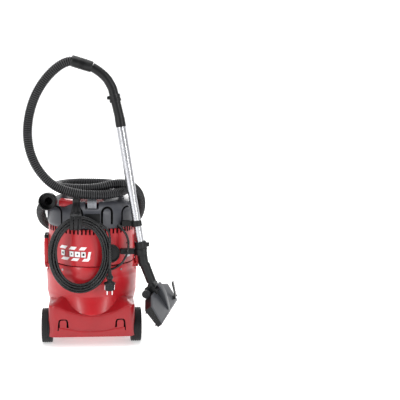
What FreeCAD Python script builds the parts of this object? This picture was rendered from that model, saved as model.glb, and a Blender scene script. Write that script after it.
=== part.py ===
"""Thirty-litre wet and dry shop vacuum with its hose, wand, floor nozzle and wound power cord.

Frame: millimetres, +Z up, origin on the floor under the middle of the drum.  -Y is the rear, where the
cord hangs; +Y is the front, where the hose inlet, switches and castors are; +X is the wand's side.
"""
import FreeCAD, Part
import Sketcher
import math
import os

from FreeCAD import Placement, Rotation, Vector

DOC = FreeCAD.newDocument("shop_vacuum")
SHEET = DOC.addObject("Spreadsheet::Sheet", "sizes")

# Driving dimensions, in millimetres and degrees.
SIZES = {
    "wall": 4, "fit_gap": 0.05,
    # drum
    "drum_floor": 62, "drum_step_low": 150, "drum_step_high": 176, "drum_top": 306,
    "belly_side": 180.5, "belly_back": 207, "belly_high": 262, "belly_step": 12,
    "drum_low_side": 128, "drum_low_back": 178, "drum_waist_side": 140, "drum_waist_back": 190,
    "drum_side": 177, "drum_back": 204, "drum_rim_side": 172, "drum_rim_back": 206,
    "inlet_height": 215, "inlet_bore": 33.5, "inlet_outer": 42, "inlet_start": 190, "inlet_end": 238,
    # chassis
    "skirt_bottom": 39, "skirt_side": 165, "skirt_back": 228, "skirt_front": 200, "skirt_top": 162,
    "skirt_corner": 24, "smile_radius": 251, "smile_low": 124, "fairing_top": 182,
    "tongue_spread": 109, "tongue_outer": 22, "tongue_inner": 16, "tongue_low": 66, "tongue_arch": 88,
    # rear wheels
    "wheel_radius": 67, "wheel_width": 42, "wheel_centre": 171.5, "wheel_back": 145,
    "hub_radius": 44, "well_radius": 72, "well_side": 147.5,
    "axle_radius": 6, "axle_inner": 112, "axle_outer": 187,
    # castors
    "castor_spread": 92, "castor_front": 148, "castor_radius": 22, "castor_width": 18,
    "castor_trail": 22, "castor_plate": 54, "castor_bay_back": 50, "castor_stem": 5, "castor_pin": 3,
    # latches
    "latch_pivot_x": 181, "latch_pivot_z": 284, "latch_half": 34, "latch_top": 405, "latch_thick": 16,
    # head
    "head_low": 308.5, "head_high": 452, "head_side": 172, "head_back": 194,
    "bulge_radius": 120, "bulge_shift": -8, "bulge_back": -86, "plate_thick": 5,
    "vent_width": 6.5, "vent_height": 20, "vent_pitch": 15, "vent_start": -113,
    # motor and float
    "motor_front": 15, "motor_radius": 64, "motor_high": 436, "fan_radius": 52, "shaft_radius": 4,
    "float_radius": 20, "float_seat": 16, "cage_radius": 30, "cage_low": 258,
    # cover
    "cover_side": 177, "cover_back": 201, "band_high": 520, "cover_top": 572,
    "valley_side": 46, "valley_floor": 540, "recess_side": 23, "recess_floor": 530,
    "handle_width": 35,
    # wand and hose
    "tube_radius": 17.5, "tube_wall": 1.5, "hose_radius": 18,
    # power cord
    "cord_radius": 4.5, "coil_shift": -45, "coil_height": 361, "coil_side": 122, "coil_rise": 151,
    "coil_depth": 25.6, "coil_width": 40, "coil_back": -224.5,
}


def fill_sheet():
    """Write each driving dimension as plain text in column B, with its name beside it."""
    for row, (name, value) in enumerate(SIZES.items(), start=1):
        SHEET.set(f"A{row}", name)
        SHEET.set(f"B{row}", str(value))
        SHEET.setAlias(f"B{row}", name)
    DOC.recompute()


fill_sheet()
X_AXIS, Y_AXIS, Z_AXIS = Vector(1, 0, 0), Vector(0, 1, 0), Vector(0, 0, 1)
NODES = []


def bound(text):
    """An expression in which every name of the sheet carries the sheet's prefix."""
    pieces = []
    word = ""
    for letter in f"{text} ":
        if letter.isalnum() or letter in "_.":
            word += letter
            continue
        pieces.append(f"sizes.{word}" if word in SIZES else word)
        pieces.append(letter)
        word = ""
    return "".join(pieces).strip()


def size(text):
    """The present value of an expression over the sheet."""
    return float(SHEET.evalExpression(bound(text)))


def add(kind, stem):
    """A new document object with a name of its own."""
    return DOC.addObject(kind, f"{stem}_{len(DOC.Objects)}")


def bind(item, **expressions):
    """Bind properties of a document object to expressions over the sheet."""
    for name, text in expressions.items():
        item.setExpression(name, bound(text))
    return item


def place(item, where, turn=None):
    """Put an object at an expression triple, after an optional rotation."""
    item.Placement = Placement(Vector(0, 0, 0), turn or Rotation())
    for letter, text in zip("xyz", where):
        item.setExpression(f"Placement.Base.{letter}", bound(text))
    return item


def centred(middle, length, width, height):
    """A box centred on middle."""
    corner = [f"({m}) - ({s}) / 2" for m, s in zip(middle, (length, width, height))]
    item = bind(add("Part::Box", "block"), Length=length, Width=width, Height=height)
    return place(item, corner)


def between(low, high):
    """A box from its lowest corner to its highest corner."""
    length, width, height = [f"({h}) - ({l})" for l, h in zip(low, high)]
    return place(bind(add("Part::Box", "block"), Length=length, Width=width, Height=height), low)


def rod(where, radius, length, along=Z_AXIS):
    """A cylinder that starts at where and runs along a direction."""
    item = bind(add("Part::Cylinder", "rod"), Radius=radius, Height=length)
    return place(item, where, Rotation(Z_AXIS, along))


def cone(where, radius, end_radius, length, along=Z_AXIS):
    """A cone that starts at where and runs along a direction."""
    item = bind(add("Part::Cone", "cone"), Radius1=radius, Radius2=end_radius, Height=length)
    return place(item, where, Rotation(Z_AXIS, along))


def ball(where, radius):
    """A sphere centred on where."""
    return place(bind(add("Part::Sphere", "ball"), Radius=radius), where)


def loft(rings):
    """A solid with straight sides through a row of ovals."""
    item = add("Part::Loft", "loft")
    item.Sections = rings
    item.Solid = True
    item.Ruled = True
    return item


def oval_loft(sections, middle=(0, 0)):
    """An upright solid through ovals given as (half width, half length, height)."""
    rings = []
    for half_width, half_length, height in sections:
        ring = bind(add("Part::Ellipse", "oval"), MajorRadius=half_length, MinorRadius=half_width)
        rings.append(place(ring, (middle[0], middle[1], height), Rotation(Z_AXIS, 90)))
    return loft(rings)


def fuse(*parts):
    """The union of several objects."""
    if len(parts) == 1:
        return parts[0]
    item = add("Part::MultiFuse", "union")
    item.Shapes = list(parts)
    item.Refine = False
    return item


def cut(base, *tools):
    """The base less every tool."""
    item = add("Part::Cut", "cut")
    item.Base = base
    item.Tool = fuse(*tools)
    item.Refine = False
    return item


def ring(where, radius, hole, length, along=Z_AXIS):
    """A tube with a bore."""
    return cut(rod(where, radius, length, along), rod(where, hole, length, along))


def group(*parts):
    """Separate solids kept together in one sub-part."""
    item = add("Part::Compound", "group")
    item.Links = list(parts)
    return item


def node(label, item):
    """Name a finished sub-part."""
    item.Label = label
    NODES.append(item)
    return item


def outline(body, role, corners):
    """A closed sketch on one of a body's origin planes, with each corner bound to the sheet."""
    support = next(f for f in body.Origin.OriginFeatures if f.Role == role)
    sketch = body.newObject("Sketcher::SketchObject", f"outline_{len(DOC.Objects)}")
    sketch.AttachmentSupport = [(support, "")]
    sketch.MapMode = "FlatFace"
    points = [Vector(size(across), size(up), 0) for across, up in corners]
    for start, end in zip(points, points[1:] + points[:1]):
        sketch.addGeometry(Part.LineSegment(start, end), False)
    for index in range(len(points)):
        following = (index + 1) % len(points)
        sketch.addConstraint(Sketcher.Constraint("Coincident", index, 2, following, 1))
    for index, corner in enumerate(corners):
        for kind, text in zip(("DistanceX", "DistanceY"), corner):
            rule = Sketcher.Constraint(kind, -1, 1, index, 1, size(text))
            number = sketch.addConstraint(rule)
            sketch.setExpression(f"Constraints[{number}]", bound(text))
    return sketch


def turned(label, corners, where):
    """A body turned about its upright axis from a profile of (radius, height) corners."""
    body = add("PartDesign::Body", label)
    DOC.recompute()
    profile = outline(body, "XZ_Plane", corners)
    feature = body.newObject("PartDesign::Revolution", f"turning_{len(DOC.Objects)}")
    feature.Profile = profile
    feature.ReferenceAxis = (profile, ["V_Axis"])
    feature.Angle = 360
    return place(body, where)


def extruded(label, role, corners, thickness, where):
    """A body padded evenly to both sides of an origin plane from a closed outline."""
    body = add("PartDesign::Body", label)
    DOC.recompute()
    profile = outline(body, role, corners)
    feature = body.newObject("PartDesign::Pad", f"pad_{len(DOC.Objects)}")
    feature.Profile = profile
    feature.Midplane = True
    feature.setExpression("Length", bound(thickness))
    return place(body, where)


def route_wire(points, name):
    """Straight runs joined by tangent arcs, each as large as its two runs allow."""
    edges = []
    tightest = math.inf
    start = points[0]
    for before, corner, after in zip(points, points[1:], points[2:]):
        arriving, leaving = corner - before, after - corner
        shorter = min(arriving.Length, leaving.Length)
        arriving.normalize()
        leaving.normalize()
        turn = math.acos(max(-1.0, min(1.0, arriving.dot(leaving))))
        setback = 0.45 * shorter
        radius = setback / math.tan(turn / 2)
        tightest = min(tightest, radius)
        arc_start = corner - arriving * setback
        arc_end = corner + leaving * setback
        inward = (leaving - arriving).normalize()
        centre = corner + inward * (radius / math.cos(turn / 2))
        middle = centre - inward * radius
        edges.append(Part.LineSegment(start, arc_start).toShape())
        edges.append(Part.Arc(arc_start, middle, arc_end).toShape())
        start = arc_end
    edges.append(Part.LineSegment(start, points[-1]).toShape())
    wire = Part.Wire(edges)
    print(f"{name}: length {wire.Length:.0f}, tightest radius {tightest:.0f}")
    return wire


def swept(points, radius, name):
    """The solid of a round section carried along a route; its volume is checked."""
    wire = route_wire(points, name)
    first = (points[1] - points[0]).normalize()
    section = Part.Wire([Part.Circle(points[0], first, radius).toShape()])
    solid = wire.makePipeShell([section], True, False)
    expected = math.pi * radius ** 2 * wire.Length
    if abs(solid.Volume / expected - 1) > 0.01:
        raise ValueError(f"{name}: the swept volume is {solid.Volume:.0f}, not {expected:.0f}")
    return solid


def shaped(label, shape):
    """A sub-part whose shape is set in code."""
    item = add("Part::Feature", label)
    item.Shape = shape
    return node(label, item)


def vectors(points):
    return [Vector(*point) for point in points]


# ------------------------------------------------------------------------------------------- drum
def drum_skin(shrink, floor, top):
    """The drum's outer form, drawn in by shrink: narrow between the wheels, wide above them, and
    stepped in below the latches."""
    return oval_loft([
        (f"drum_low_side - {shrink}", f"drum_low_back - {shrink}", floor),
        (f"drum_waist_side - {shrink}", f"drum_waist_back - {shrink}", "drum_step_low"),
        (f"drum_side - {shrink}", f"drum_back - {shrink}", "drum_step_high"),
        (f"belly_side - {shrink}", f"belly_back - {shrink}", "belly_high"),
        (f"drum_rim_side - {shrink}", f"drum_rim_back - {shrink}", "belly_high + belly_step"),
        (f"drum_rim_side - {shrink}", f"drum_rim_back - {shrink}", top),
    ])


def latch_lugs():
    """Two ears on each side of the rim that hold a latch pin."""
    ears = []
    for side in (-1, 1):
        for end in (-1, 1):
            middle = (f"{side} * (latch_pivot_x - 5)", f"{end} * (latch_half + 5)", "latch_pivot_z")
            ears.append(centred(middle, 22, 8, 14))
    return ears


def latch_pin_rods(radius):
    """The bars of the two latch hinges."""
    length = "2 * latch_half + 18"
    return [rod((f"{side} * latch_pivot_x", "-latch_half - 9", "latch_pivot_z"), radius, length, Y_AXIS)
            for side in (-1, 1)]


def screw_rods():
    """The two screws that hold the rim's clamp ring, square to the drum's round back."""
    return [rod((side * 107, -150, 289), 4.5, 9, Vector(0.71 * side, -0.7, 0)) for side in (-1, 1)]


def build_drum():
    shell = cut(drum_skin("0", "drum_floor", "drum_top"),
                drum_skin("wall", "drum_floor + wall", "drum_top + 1"))
    ears = cut(fuse(*latch_lugs()), drum_skin("1", "drum_floor", "drum_top"))
    inlet_hole = rod((0, "inlet_start - 20", "inlet_height"), "inlet_outer", 80, Y_AXIS)
    node("drum", cut(fuse(shell, ears), inlet_hole, *latch_pin_rods(3), *screw_rods()))
    node("latch_pins", group(*latch_pin_rods(3)))
    node("inlet_fitting", fuse(
        ring((0, "inlet_start", "inlet_height"), "inlet_outer", "inlet_bore",
             "inlet_end - inlet_start", Y_AXIS),
        ring((0, "drum_back + 4", "inlet_height"), "inlet_outer + 7", "inlet_bore", 6, Y_AXIS)))
    node("rim_seal", cut(
        oval_loft([("drum_rim_side - 4", "drum_rim_back - 4", "drum_top"),
                   ("drum_rim_side - 4", "drum_rim_back - 4", "head_low")]),
        oval_loft([("drum_rim_side - 12", "drum_rim_back - 12", "drum_top"),
                   ("drum_rim_side - 12", "drum_rim_back - 12", "head_low")])))
    node("drum_screws", group(*screw_rods()))


# ---------------------------------------------------------------------------------------- chassis
def rounded_block(side, back, front, low, high, corner):
    """A box with round upright corners."""
    parts = [
        between((f"-({side})", f"-({back}) + {corner}", low), (side, f"({front}) - {corner}", high)),
        between((f"-({side}) + {corner}", f"-({back})", low), (f"({side}) - {corner}", front, high)),
    ]
    for x in (f"-({side}) + {corner}", f"({side}) - {corner}"):
        for y in (f"-({back}) + {corner}", f"({front}) - {corner}"):
            parts.append(rod((x, y, low), corner, f"({high}) - ({low})"))
    return fuse(*parts)


def tongue(x, half_width, arch):
    """A hanging tongue with a round top, used for the slot around each accessory hook."""
    return fuse(rod((x, "-skirt_back - 2", arch), half_width, 8, Y_AXIS),
                between((f"({x}) - {half_width}", "-skirt_back - 2", "tongue_low"),
                        (f"({x}) + {half_width}", "-skirt_back + 6", arch)))


def axle_rods():
    """The two stub axles of the rear wheels."""
    length = "axle_outer - axle_inner"
    return [rod(("axle_inner", "-wheel_back", "wheel_radius"), "axle_radius", length, X_AXIS),
            rod(("-axle_inner", "-wheel_back", "wheel_radius"), "axle_radius", length, -X_AXIS)]


def wheel_wells():
    """The round arches over the rear wheels."""
    return [rod((f"{side} * well_side", "-wheel_back", "wheel_radius"), "well_radius", 30, X_AXIS * side)
            for side in (-1, 1)]


def fairing():
    """The sloping shoulder from the skirt's rear edge up to the drum."""
    slope = oval_loft([("skirt_side", "skirt_back - 2", "smile_low - 4"),
                       ("drum_side + 0.9", "drum_back + 0.9", "fairing_top")])
    return cut(slope, between((-175, "skirt_front", 100), (175, 240, 190)))


def build_chassis():
    block = rounded_block("skirt_side", "skirt_back", "skirt_front", "skirt_bottom", "skirt_top",
                          "skirt_corner")
    under = rounded_block("skirt_side - wall", "skirt_back - wall", "skirt_front - wall",
                          "skirt_bottom - 1", "drum_floor - wall", "skirt_corner - wall")
    rear_pocket = between((-137, "-skirt_back + wall", "skirt_bottom"), (137, -194, 108))
    castor_bay = between(("-skirt_side + wall", "castor_bay_back", "skirt_bottom - 2"),
                         ("skirt_side - wall", "skirt_front + 1", "castor_plate"))
    smile = rod((0, "-skirt_back - 1", "smile_low + smile_radius"), "smile_radius",
                "skirt_back + skirt_front + 2", Y_AXIS)
    slots = [cut(tongue(x, "tongue_outer", "tongue_arch"), tongue(x, "tongue_inner", "tongue_arch"))
             for x in ("-tongue_spread", "tongue_spread")]
    seat = drum_skin("(-0.2)", "drum_floor", "drum_top")
    skirt = fuse(cut(block, smile), fairing())
    node("chassis", cut(skirt, under, rear_pocket, castor_bay, seat, *wheel_wells(), *slots, *axle_rods()))
    node("rear_axles", group(*axle_rods()))


def build_rear_wheel(side, name):
    """A hub with a blind bore and the tyre around it."""
    direction = X_AXIS * side
    inner = (f"{side} * (wheel_centre - wheel_width / 2)", "-wheel_back", "wheel_radius")
    hub = cut(rod(inner, "hub_radius", "wheel_width - 3", direction),
              rod(inner, "axle_radius + fit_gap", "wheel_width - 2.8 - 2", direction))
    node(f"hub_{name}", hub)
    node(f"tyre_{name}", ring(inner, "wheel_radius", "hub_radius", "wheel_width", direction))


def build_castor(side, name):
    """A swivel fork with its pin, and the small wheel that runs on the pin."""
    x = f"{side} * castor_spread"
    wheel_y = "castor_front - castor_trail"
    bridge = between((f"{x} - 15", f"{wheel_y} - 9", "castor_plate - 8"),
                     (f"{x} + 15", "castor_front + 13", "castor_plate - 3"))
    cheeks = [centred((f"{x} + {end} * (castor_width / 2 + 3)", wheel_y, "castor_radius + 9"), 5, 18, 34)
              for end in (-1, 1)]
    pin = rod((f"{x} - castor_width / 2 - 5", wheel_y, "castor_radius"), "castor_pin",
              "castor_width + 10", X_AXIS)
    stem_hole = rod((x, "castor_front", "castor_plate - 9"), "castor_stem + fit_gap", 10)
    node(f"castor_fork_{name}", cut(fuse(bridge, pin, *cheeks), stem_hole))
    node(f"castor_wheel_{name}", ring((f"{x} - castor_width / 2", wheel_y, "castor_radius"),
                                      "castor_radius", "castor_pin + fit_gap", "castor_width", X_AXIS))


def build_castor_plates():
    parts = []
    for side in (-1, 1):
        x = f"{side} * castor_spread"
        parts.append(fuse(centred((x, "castor_front", "castor_plate + 2"), 58, 58, 4),
                          rod((x, "castor_front", "castor_plate - 8"), "castor_stem", 9)))
    node("castor_plates", group(*parts))


def build_latch(side, name):
    """A clamp lever with a barrel round its pin."""
    barrel = rod((f"{side} * latch_pivot_x", "-latch_half", "latch_pivot_z"), 5.5, "2 * latch_half", Y_AXIS)
    plate = centred((f"{side} * (latch_pivot_x - 0.4)", 0, "(latch_pivot_z + latch_top) / 2"),
                    "latch_thick", "2 * latch_half", "latch_top - latch_pivot_z")
    bore = rod((f"{side} * latch_pivot_x", "-latch_half", "latch_pivot_z"), "3 + fit_gap",
               "2 * latch_half", Y_AXIS)
    node(f"latch_{name}", cut(fuse(barrel, plate), bore))


# ------------------------------------------------------------------------------------------- head
def head_skin(shrink, low, high):
    """The head's outer form with the round bulge that covers the motor at the rear."""
    main = oval_loft([(f"head_side - {shrink}", f"head_back - {shrink}", low),
                      (f"head_side - {shrink}", f"head_back - {shrink}", high)])
    bulge = rod(("bulge_shift", "bulge_back", low), f"bulge_radius - {shrink}", f"{high} - ({low})")
    return fuse(main, bulge)


def build_head():
    vents = [centred((f"vent_start + {index} * vent_pitch", -185, "head_high - vent_height / 2"),
                     "vent_width", 90, "vent_height") for index in range(16)]
    node("head_housing", cut(head_skin("0", "head_low", "head_high"),
                             head_skin("wall", "head_low - 1", "head_high + 1"), *vents,
                             rod((72, -215, 361), 35, 60, Y_AXIS)))
    node("base_plate", cut(
        oval_loft([("head_side - wall - 0.5", "head_back - wall - 0.5", "head_low"),
                   ("head_side - wall - 0.5", "head_back - wall - 0.5", "head_low + plate_thick")]),
        rod((0, "motor_front", "head_low - 1"), "float_seat", 10)))
    motor_low = "head_low + plate_thick"
    casing = cut(rod((0, "motor_front", motor_low), "motor_radius", f"motor_high - {motor_low}"),
                 rod((0, "motor_front", motor_low), "fan_radius + 4", 28),
                 rod((0, "motor_front", motor_low), "shaft_radius + fit_gap", 108))
    node("suction_motor", casing)
    hub_bottom = f"{motor_low} + 5"
    node("fan_wheel", cut(fuse(rod((0, "motor_front", hub_bottom), "fan_radius", 3),
                               rod((0, "motor_front", f"{hub_bottom} + 15"), "fan_radius", 3),
                               rod((0, "motor_front", hub_bottom), 14, 18)),
                          rod((0, "motor_front", hub_bottom), "shaft_radius", 18)))
    node("motor_shaft", rod((0, "motor_front", hub_bottom), "shaft_radius", 100))
    windows = [centred((0, "motor_front", "cage_low + 26"), 80, 22, 30),
               centred((0, "motor_front", "cage_low + 26"), 22, 80, 30)]
    node("float_cage", cut(rod((0, "motor_front", "cage_low"), "cage_radius", "head_low - cage_low"),
                           rod((0, "motor_front", "cage_low + wall"), "cage_radius - 3", 60), *windows))
    node("float_ball", ball((0, "motor_front", "cage_low + wall + float_radius + 0.1"), "float_radius"))
    node("filter_cassette", centred((0, 92, 480), 190, 96, 44))
    port = fuse(cut(rod((72, -210, 361), 35, 40, Y_AXIS), rod((72, -211, 361), 29, 6, Y_AXIS)),
                rod((72, -207, 361), 29, 9, Y_AXIS))
    node("exhaust_port", cut(port, head_skin("wall", "head_low", "head_high")))
    screws = [rod((x, y, "head_low + plate_thick"), 4, 5)
              for x, y in ((-125, -90), (125, -90), (-125, 110), (125, 110))]
    node("head_screws", group(*screws))


def build_front_panel():
    """The switch panel, knob, appliance socket and its flap on the head's front."""
    shell = head_skin("0", "head_low", "head_high")
    knob_bore = rod((-38, 190, 406), "4 + fit_gap", 20, Y_AXIS)
    panel = cut(centred((0, 184, 406), 150, 34, 68), shell, knob_bore,
                rod((38, 190, 406), 22, 20, Y_AXIS))
    node("control_panel", panel)
    node("rotary_switch", fuse(rod((-38, 196.5, 406), 4, 6, Y_AXIS), rod((-38, 201.5, 406), 17, 14, Y_AXIS)))
    node("appliance_socket", cut(rod((38, 194.5, 406), 22, 10, Y_AXIS), rod((38, 197, 406), 18, 10, Y_AXIS)))
    flap = fuse(rod((38, 205, 406), 23, 3, Y_AXIS), between((28, 205, 406), (48, 208, 433)),
                rod((28, 207, 434), 3, 20, X_AXIS))
    node("socket_flap", cut(flap, rod((28, 207, 434), "1.5 + fit_gap", 20, X_AXIS)))
    node("flap_pin", fuse(rod((24, 207, 434), 1.5, 28, X_AXIS),
                          between((24, 201, 431), (27.5, 210, 437)),
                          between((48.5, 201, 431), (52, 210, 437))))


# ------------------------------------------------------------------------------------------ cover
def cover_skin(shrink, low):
    """The cover's upright band and the dome above it."""
    rows = [("cover_side - 5", "cover_back - 5", low), ("cover_side", "cover_back", "head_high + 12"),
            ("cover_side", "cover_back", "band_high"), (150, 172, "band_high + 28"),
            (122, 135, "cover_top - 6"), (108, 118, "cover_top")]
    return oval_loft([(f"({side}) - {shrink}", f"({back}) - {shrink}",
                       height if height == low else f"({height}) - {shrink}")
                      for side, back, height in rows])


def build_cover():
    valley = between(("-valley_side", -150, "valley_floor"), ("valley_side", 150, "cover_top + 5"))
    recess = between(("-recess_side", "-cover_back", "recess_floor"), ("recess_side", -130, "cover_top"))
    front_recess = between(("-recess_side", 130, "recess_floor"), ("recess_side", "cover_back", "cover_top"))
    lining = [between(("-valley_side - wall", -154, "valley_floor - wall"),
                      ("valley_side + wall", 154, "cover_top")),
              between(("-recess_side - wall", "-cover_back", "recess_floor - wall"),
                      ("recess_side + wall", -126, "cover_top")),
              between(("-recess_side - wall", 126, "recess_floor - wall"),
                      ("recess_side + wall", "cover_back", "cover_top"))]
    hollow = cut(cover_skin("wall", "head_high - 1"), *lining)
    latch_hole = centred((-100.5, -133.4, 548), 45.4, 38.6, 40)
    node("top_cover", cut(cover_skin("0", "head_high"), hollow, valley, recess, front_recess, latch_hole))
    node("top_plate", between(("-valley_side + 0.5", -122, "valley_floor"),
                              ("valley_side - 0.5", 122, "valley_floor + 6")))


def build_handle():
    """An arched grip whose two feet stand in the cover's recesses."""
    rear_half = [(-180, "recess_floor"), (-176, 546), (-120, 574), (-62, 594)]
    inner_half = [(-58, 580), (-112, 556), (-150, "recess_floor")]
    corners = rear_half + [(-y, z) for y, z in reversed(rear_half)]
    corners += [(-y, z) for y, z in reversed(inner_half)] + inner_half
    node("carry_handle", extruded("handle_body", "YZ_Plane", corners, "handle_width", (0, 0, 0)))


def build_strap():
    """A rubber strap from the cover's top, out over the coil, under it and back to the cover."""
    outer = [(-112, 573), (-150, 559), (-191, 531), (-214, 518), (-241, 514), (-241, 455), (-212, 453),
             (-186, 455)]
    inner = [(-186, 459), (-211, 458.5), (-237.5, 459.5), (-237.5, 512.5), (-213, 513), (-191, 524),
             (-150, 554), (-112, 569)]
    strap = extruded("strap_body", "YZ_Plane", outer + inner, 34, (-60, 0, 0))
    node("cord_strap", cut(strap, cover_skin("0", "head_high"), head_skin("0", "head_low", "head_high")))


def build_cover_latch():
    """A push latch that stands in a hole in the dome's left shoulder."""
    node("cover_latch", centred((-100.5, -134, 548), 44, 36, 22))


# -------------------------------------------------------------------------------- wand and nozzle
WAND_TOP = Vector(110, -166, 844)
WAND_LOW = Vector(189, -166, 377)
WAND = (WAND_LOW - WAND_TOP).normalize()
WAND_LENGTH = (WAND_LOW - WAND_TOP).Length
ELBOW_BEND = Vector(207, -166, 303)
NOZZLE_PIVOT = Vector(236, -166, 228)
NOZZLE_LONG = Vector(0.3001, 0.9483, 0.103).normalize()
NOZZLE_REAR = Vector(-0.6176, 0.1109, 0.7786).normalize()
NOZZLE_UP = NOZZLE_LONG.cross(NOZZLE_REAR)
PIVOT_IN_NOZZLE = Vector(0, 72, 34)
AIR_RING = 0.62


def along_wand(distance):
    """A point on the wand's axis, measured down from its top end."""
    point = WAND_TOP + WAND * distance
    return (point.x, point.y, point.z)


def build_clips():
    """The spring clip on the cover and the holder on the head that carry the wand."""
    cover_side = oval_loft([("cover_side", "cover_back", 440), ("cover_side", "cover_back", 530)])
    head_side = head_skin("0", "head_low", "head_high")
    upper = fuse(rod(along_wand(366), 23, 22, WAND), centred((135, -160, 471), 40, 24, 22))
    node("clip_upper", cut(upper, cover_side, rod(along_wand(360), "tube_radius", 40, WAND),
                           centred((195, -166, 471), 22, 26, 40)))
    lower = fuse(rod(along_wand(478), 29, 22, WAND), centred((152, -160, 361), 86, 22, 22))
    node("holder_lower", cut(lower, head_side, rod(along_wand(470), 23.5, 40, WAND),
                             centred((216, -166, 361), 24, 38, 40)))


def build_wand():
    upper = cut(rod(along_wand(0), "tube_radius", 250, WAND),
                rod(along_wand(0), "tube_radius - tube_wall", 250, WAND))
    lower = cut(rod(along_wand(244), "tube_radius - tube_wall", WAND_LENGTH - 244, WAND),
                rod(along_wand(244), "tube_radius - 2 * tube_wall", WAND_LENGTH - 244, WAND))
    node("wand_tube_upper", upper)
    node("wand_tube_lower", lower)
    collar = cut(fuse(rod(along_wand(450), 23.5, 36, WAND), rod(along_wand(462), 9, 34, X_AXIS)),
                 rod(along_wand(450), "tube_radius - tube_wall", WAND_LENGTH - 450, WAND),
                 rod(along_wand(WAND_LENGTH), 16 + 0.05, 20, WAND))
    node("locking_collar", collar)


HAND_ROUTE = vectors([(110, -166, 844), (103.3, -166, 883.4), (76, -166, 993), (45, -166, 1042),
                      (0, -166, 1067)])


def build_hand_tube():
    outer = swept(HAND_ROUTE, size("tube_radius"), "hand tube")
    inner = swept(HAND_ROUTE, size("tube_radius - 2.5"), "hand tube bore")
    hand = shaped("hand_tube", outer.cut(inner))
    start, end = HAND_ROUTE[1], HAND_ROUTE[2]
    middle = start + (end - start) * AIR_RING
    along = (end - start).normalize()
    low = middle - along * 14
    node("air_ring", ring((low.x, low.y, low.z), 22.5, "tube_radius + fit_gap", 28, along))
    return hand


def elbow_route():
    """From the collar down to the bend and on to the nozzle's hinge."""
    top = Vector(*along_wand(WAND_LENGTH))
    return [top, ELBOW_BEND, NOZZLE_PIVOT]


def build_elbow():
    top, bend, pivot = elbow_route()
    neck = (pivot - bend).normalize()
    tail = pivot - neck * 14
    fall = (bend - top).normalize()
    bar = pivot - NOZZLE_LONG * 22
    solid = fuse(rod((top.x, top.y, top.z), 16, 14, WAND),
                 rod(tuple(top + WAND * 14), 20, 58, WAND),
                 ball(tuple(bend), 20), rod(tuple(bend), 19, (tail - bend).Length, neck),
                 rod(tuple(bar), 16, 44, NOZZLE_LONG))
    bores = (rod(tuple(top), 13, (bend - top).Length, fall), rod(tuple(bend), 13, 50, neck),
             rod(tuple(pivot - NOZZLE_LONG * 30), 5 + 0.05, 60, NOZZLE_LONG))
    node("elbow", cut(solid, *bores))


def nozzle_turn():
    """The rotation from the nozzle's own axes to the machine's."""
    return Rotation(NOZZLE_LONG, NOZZLE_REAR, NOZZLE_UP, "XYZ")


def in_nozzle(item):
    """Carry a piece from the nozzle's own axes to where the nozzle hangs."""
    turn = nozzle_turn()
    origin = NOZZLE_PIVOT - turn.multVec(PIVOT_IN_NOZZLE)
    item.Placement = Placement(origin, turn)
    return item


def build_nozzle():
    """The floor nozzle, drawn with its long way on X and its sole on the XY plane."""
    sole = extruded("nozzle_sole", "XY_Plane", [
        (-140, -55), (140, -55), (140, 25), (76, 50), (-76, 50), (-140, 25)], 34, (0, 0, 17))
    above = extruded("nozzle_top_plane", "YZ_Plane", [
        (-56, 22), (25, 33), (51, 33), (51, 40), (-56, 40)], 284, (0, 0, 0))
    base = cut(sole, above)
    bridge = extruded("nozzle_bridge", "YZ_Plane", [
        (-52, 21), (-20, 40), (20, 57), (50, 62), (66, 61), (66, 54), (40, 52), (34, 21)], 34, (0, 0, 0))
    arms = [between((x - 3.25, 36, 6), (x + 3.25, 82, 44)) for x in (-28, 28)]
    ears = [between((x - 3, 40, 6), (x + 3, 71, 20)) for x in (-49, 49)]
    pedal_ears = [between((x, -40, 20), (x + 4, -31, 34)) for x in (100, 132)]
    slot = between((-125, -22, -1), (125, -4, 12))
    duct = between((-14, -18, 6), (14, 52, 17))
    pin = rod((-31, 72, 34), 5, 62, X_AXIS)
    axle = rod((-70, 64, 13), 3, 140, X_AXIS)
    roller_wells = [rod((x, 64, 13), 17, 14, X_AXIS) for x in (-67, 53)]
    body = fuse(cut(fuse(base, bridge, *arms, *ears, *pedal_ears), slot, duct, *roller_wells), pin, axle)
    node("nozzle_body", in_nozzle(group(body)))
    strips = [between((-134, y, -7), (134, y + 5, 0)) for y in (-48, 12)]
    node("nozzle_brushes", in_nozzle(group(*strips)))
    rollers = [ring((x, 64, 13), 16, "3 + fit_gap", 12, X_AXIS) for x in (-66, 54)]
    node("nozzle_rollers", in_nozzle(group(*rollers)))
    pedal = extruded("pedal_plate", "YZ_Plane", [(-39, 28), (-39, 32), (20, 63), (22, 59)], 24,
                     (118, 0, 0))
    pedal_pin = rod((104.5, -35.5, 30), 2.5, 27, X_AXIS)
    node("nozzle_pedal", in_nozzle(group(fuse(pedal, pedal_pin))))


# ------------------------------------------------------------------------------------------- hose
HOSE_ROUTE = vectors([
    (-78, -168, 1090), (-148, -168, 1052), (-206, -168, 975), (-238, -168, 880), (-243, -168, 780),
    (-212, -166, 686), (-146, -164, 612), (-54, -168, 583), (44, -164, 580), (112, -112, 586),
    (144, -32, 590), (126, 64, 594), (39, 128, 597), (-62, 118, 598), (-130, 50, 598),
    (-140, -38, 599), (-78, -109, 598), (24, -116, 601), (100, -98, 622), (166, -42, 604),
    (202, 30, 544), (200, 102, 466), (160, 168, 412), (85, 226, 370), (-30, 246, 356), (-130, 204, 380),
    (-195, 115, 430), (-207, 15, 488), (-192, -70, 532), (-160, -130, 556),
])
SLEEVE_MOUTH = Vector(-168, -214, 562)


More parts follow.
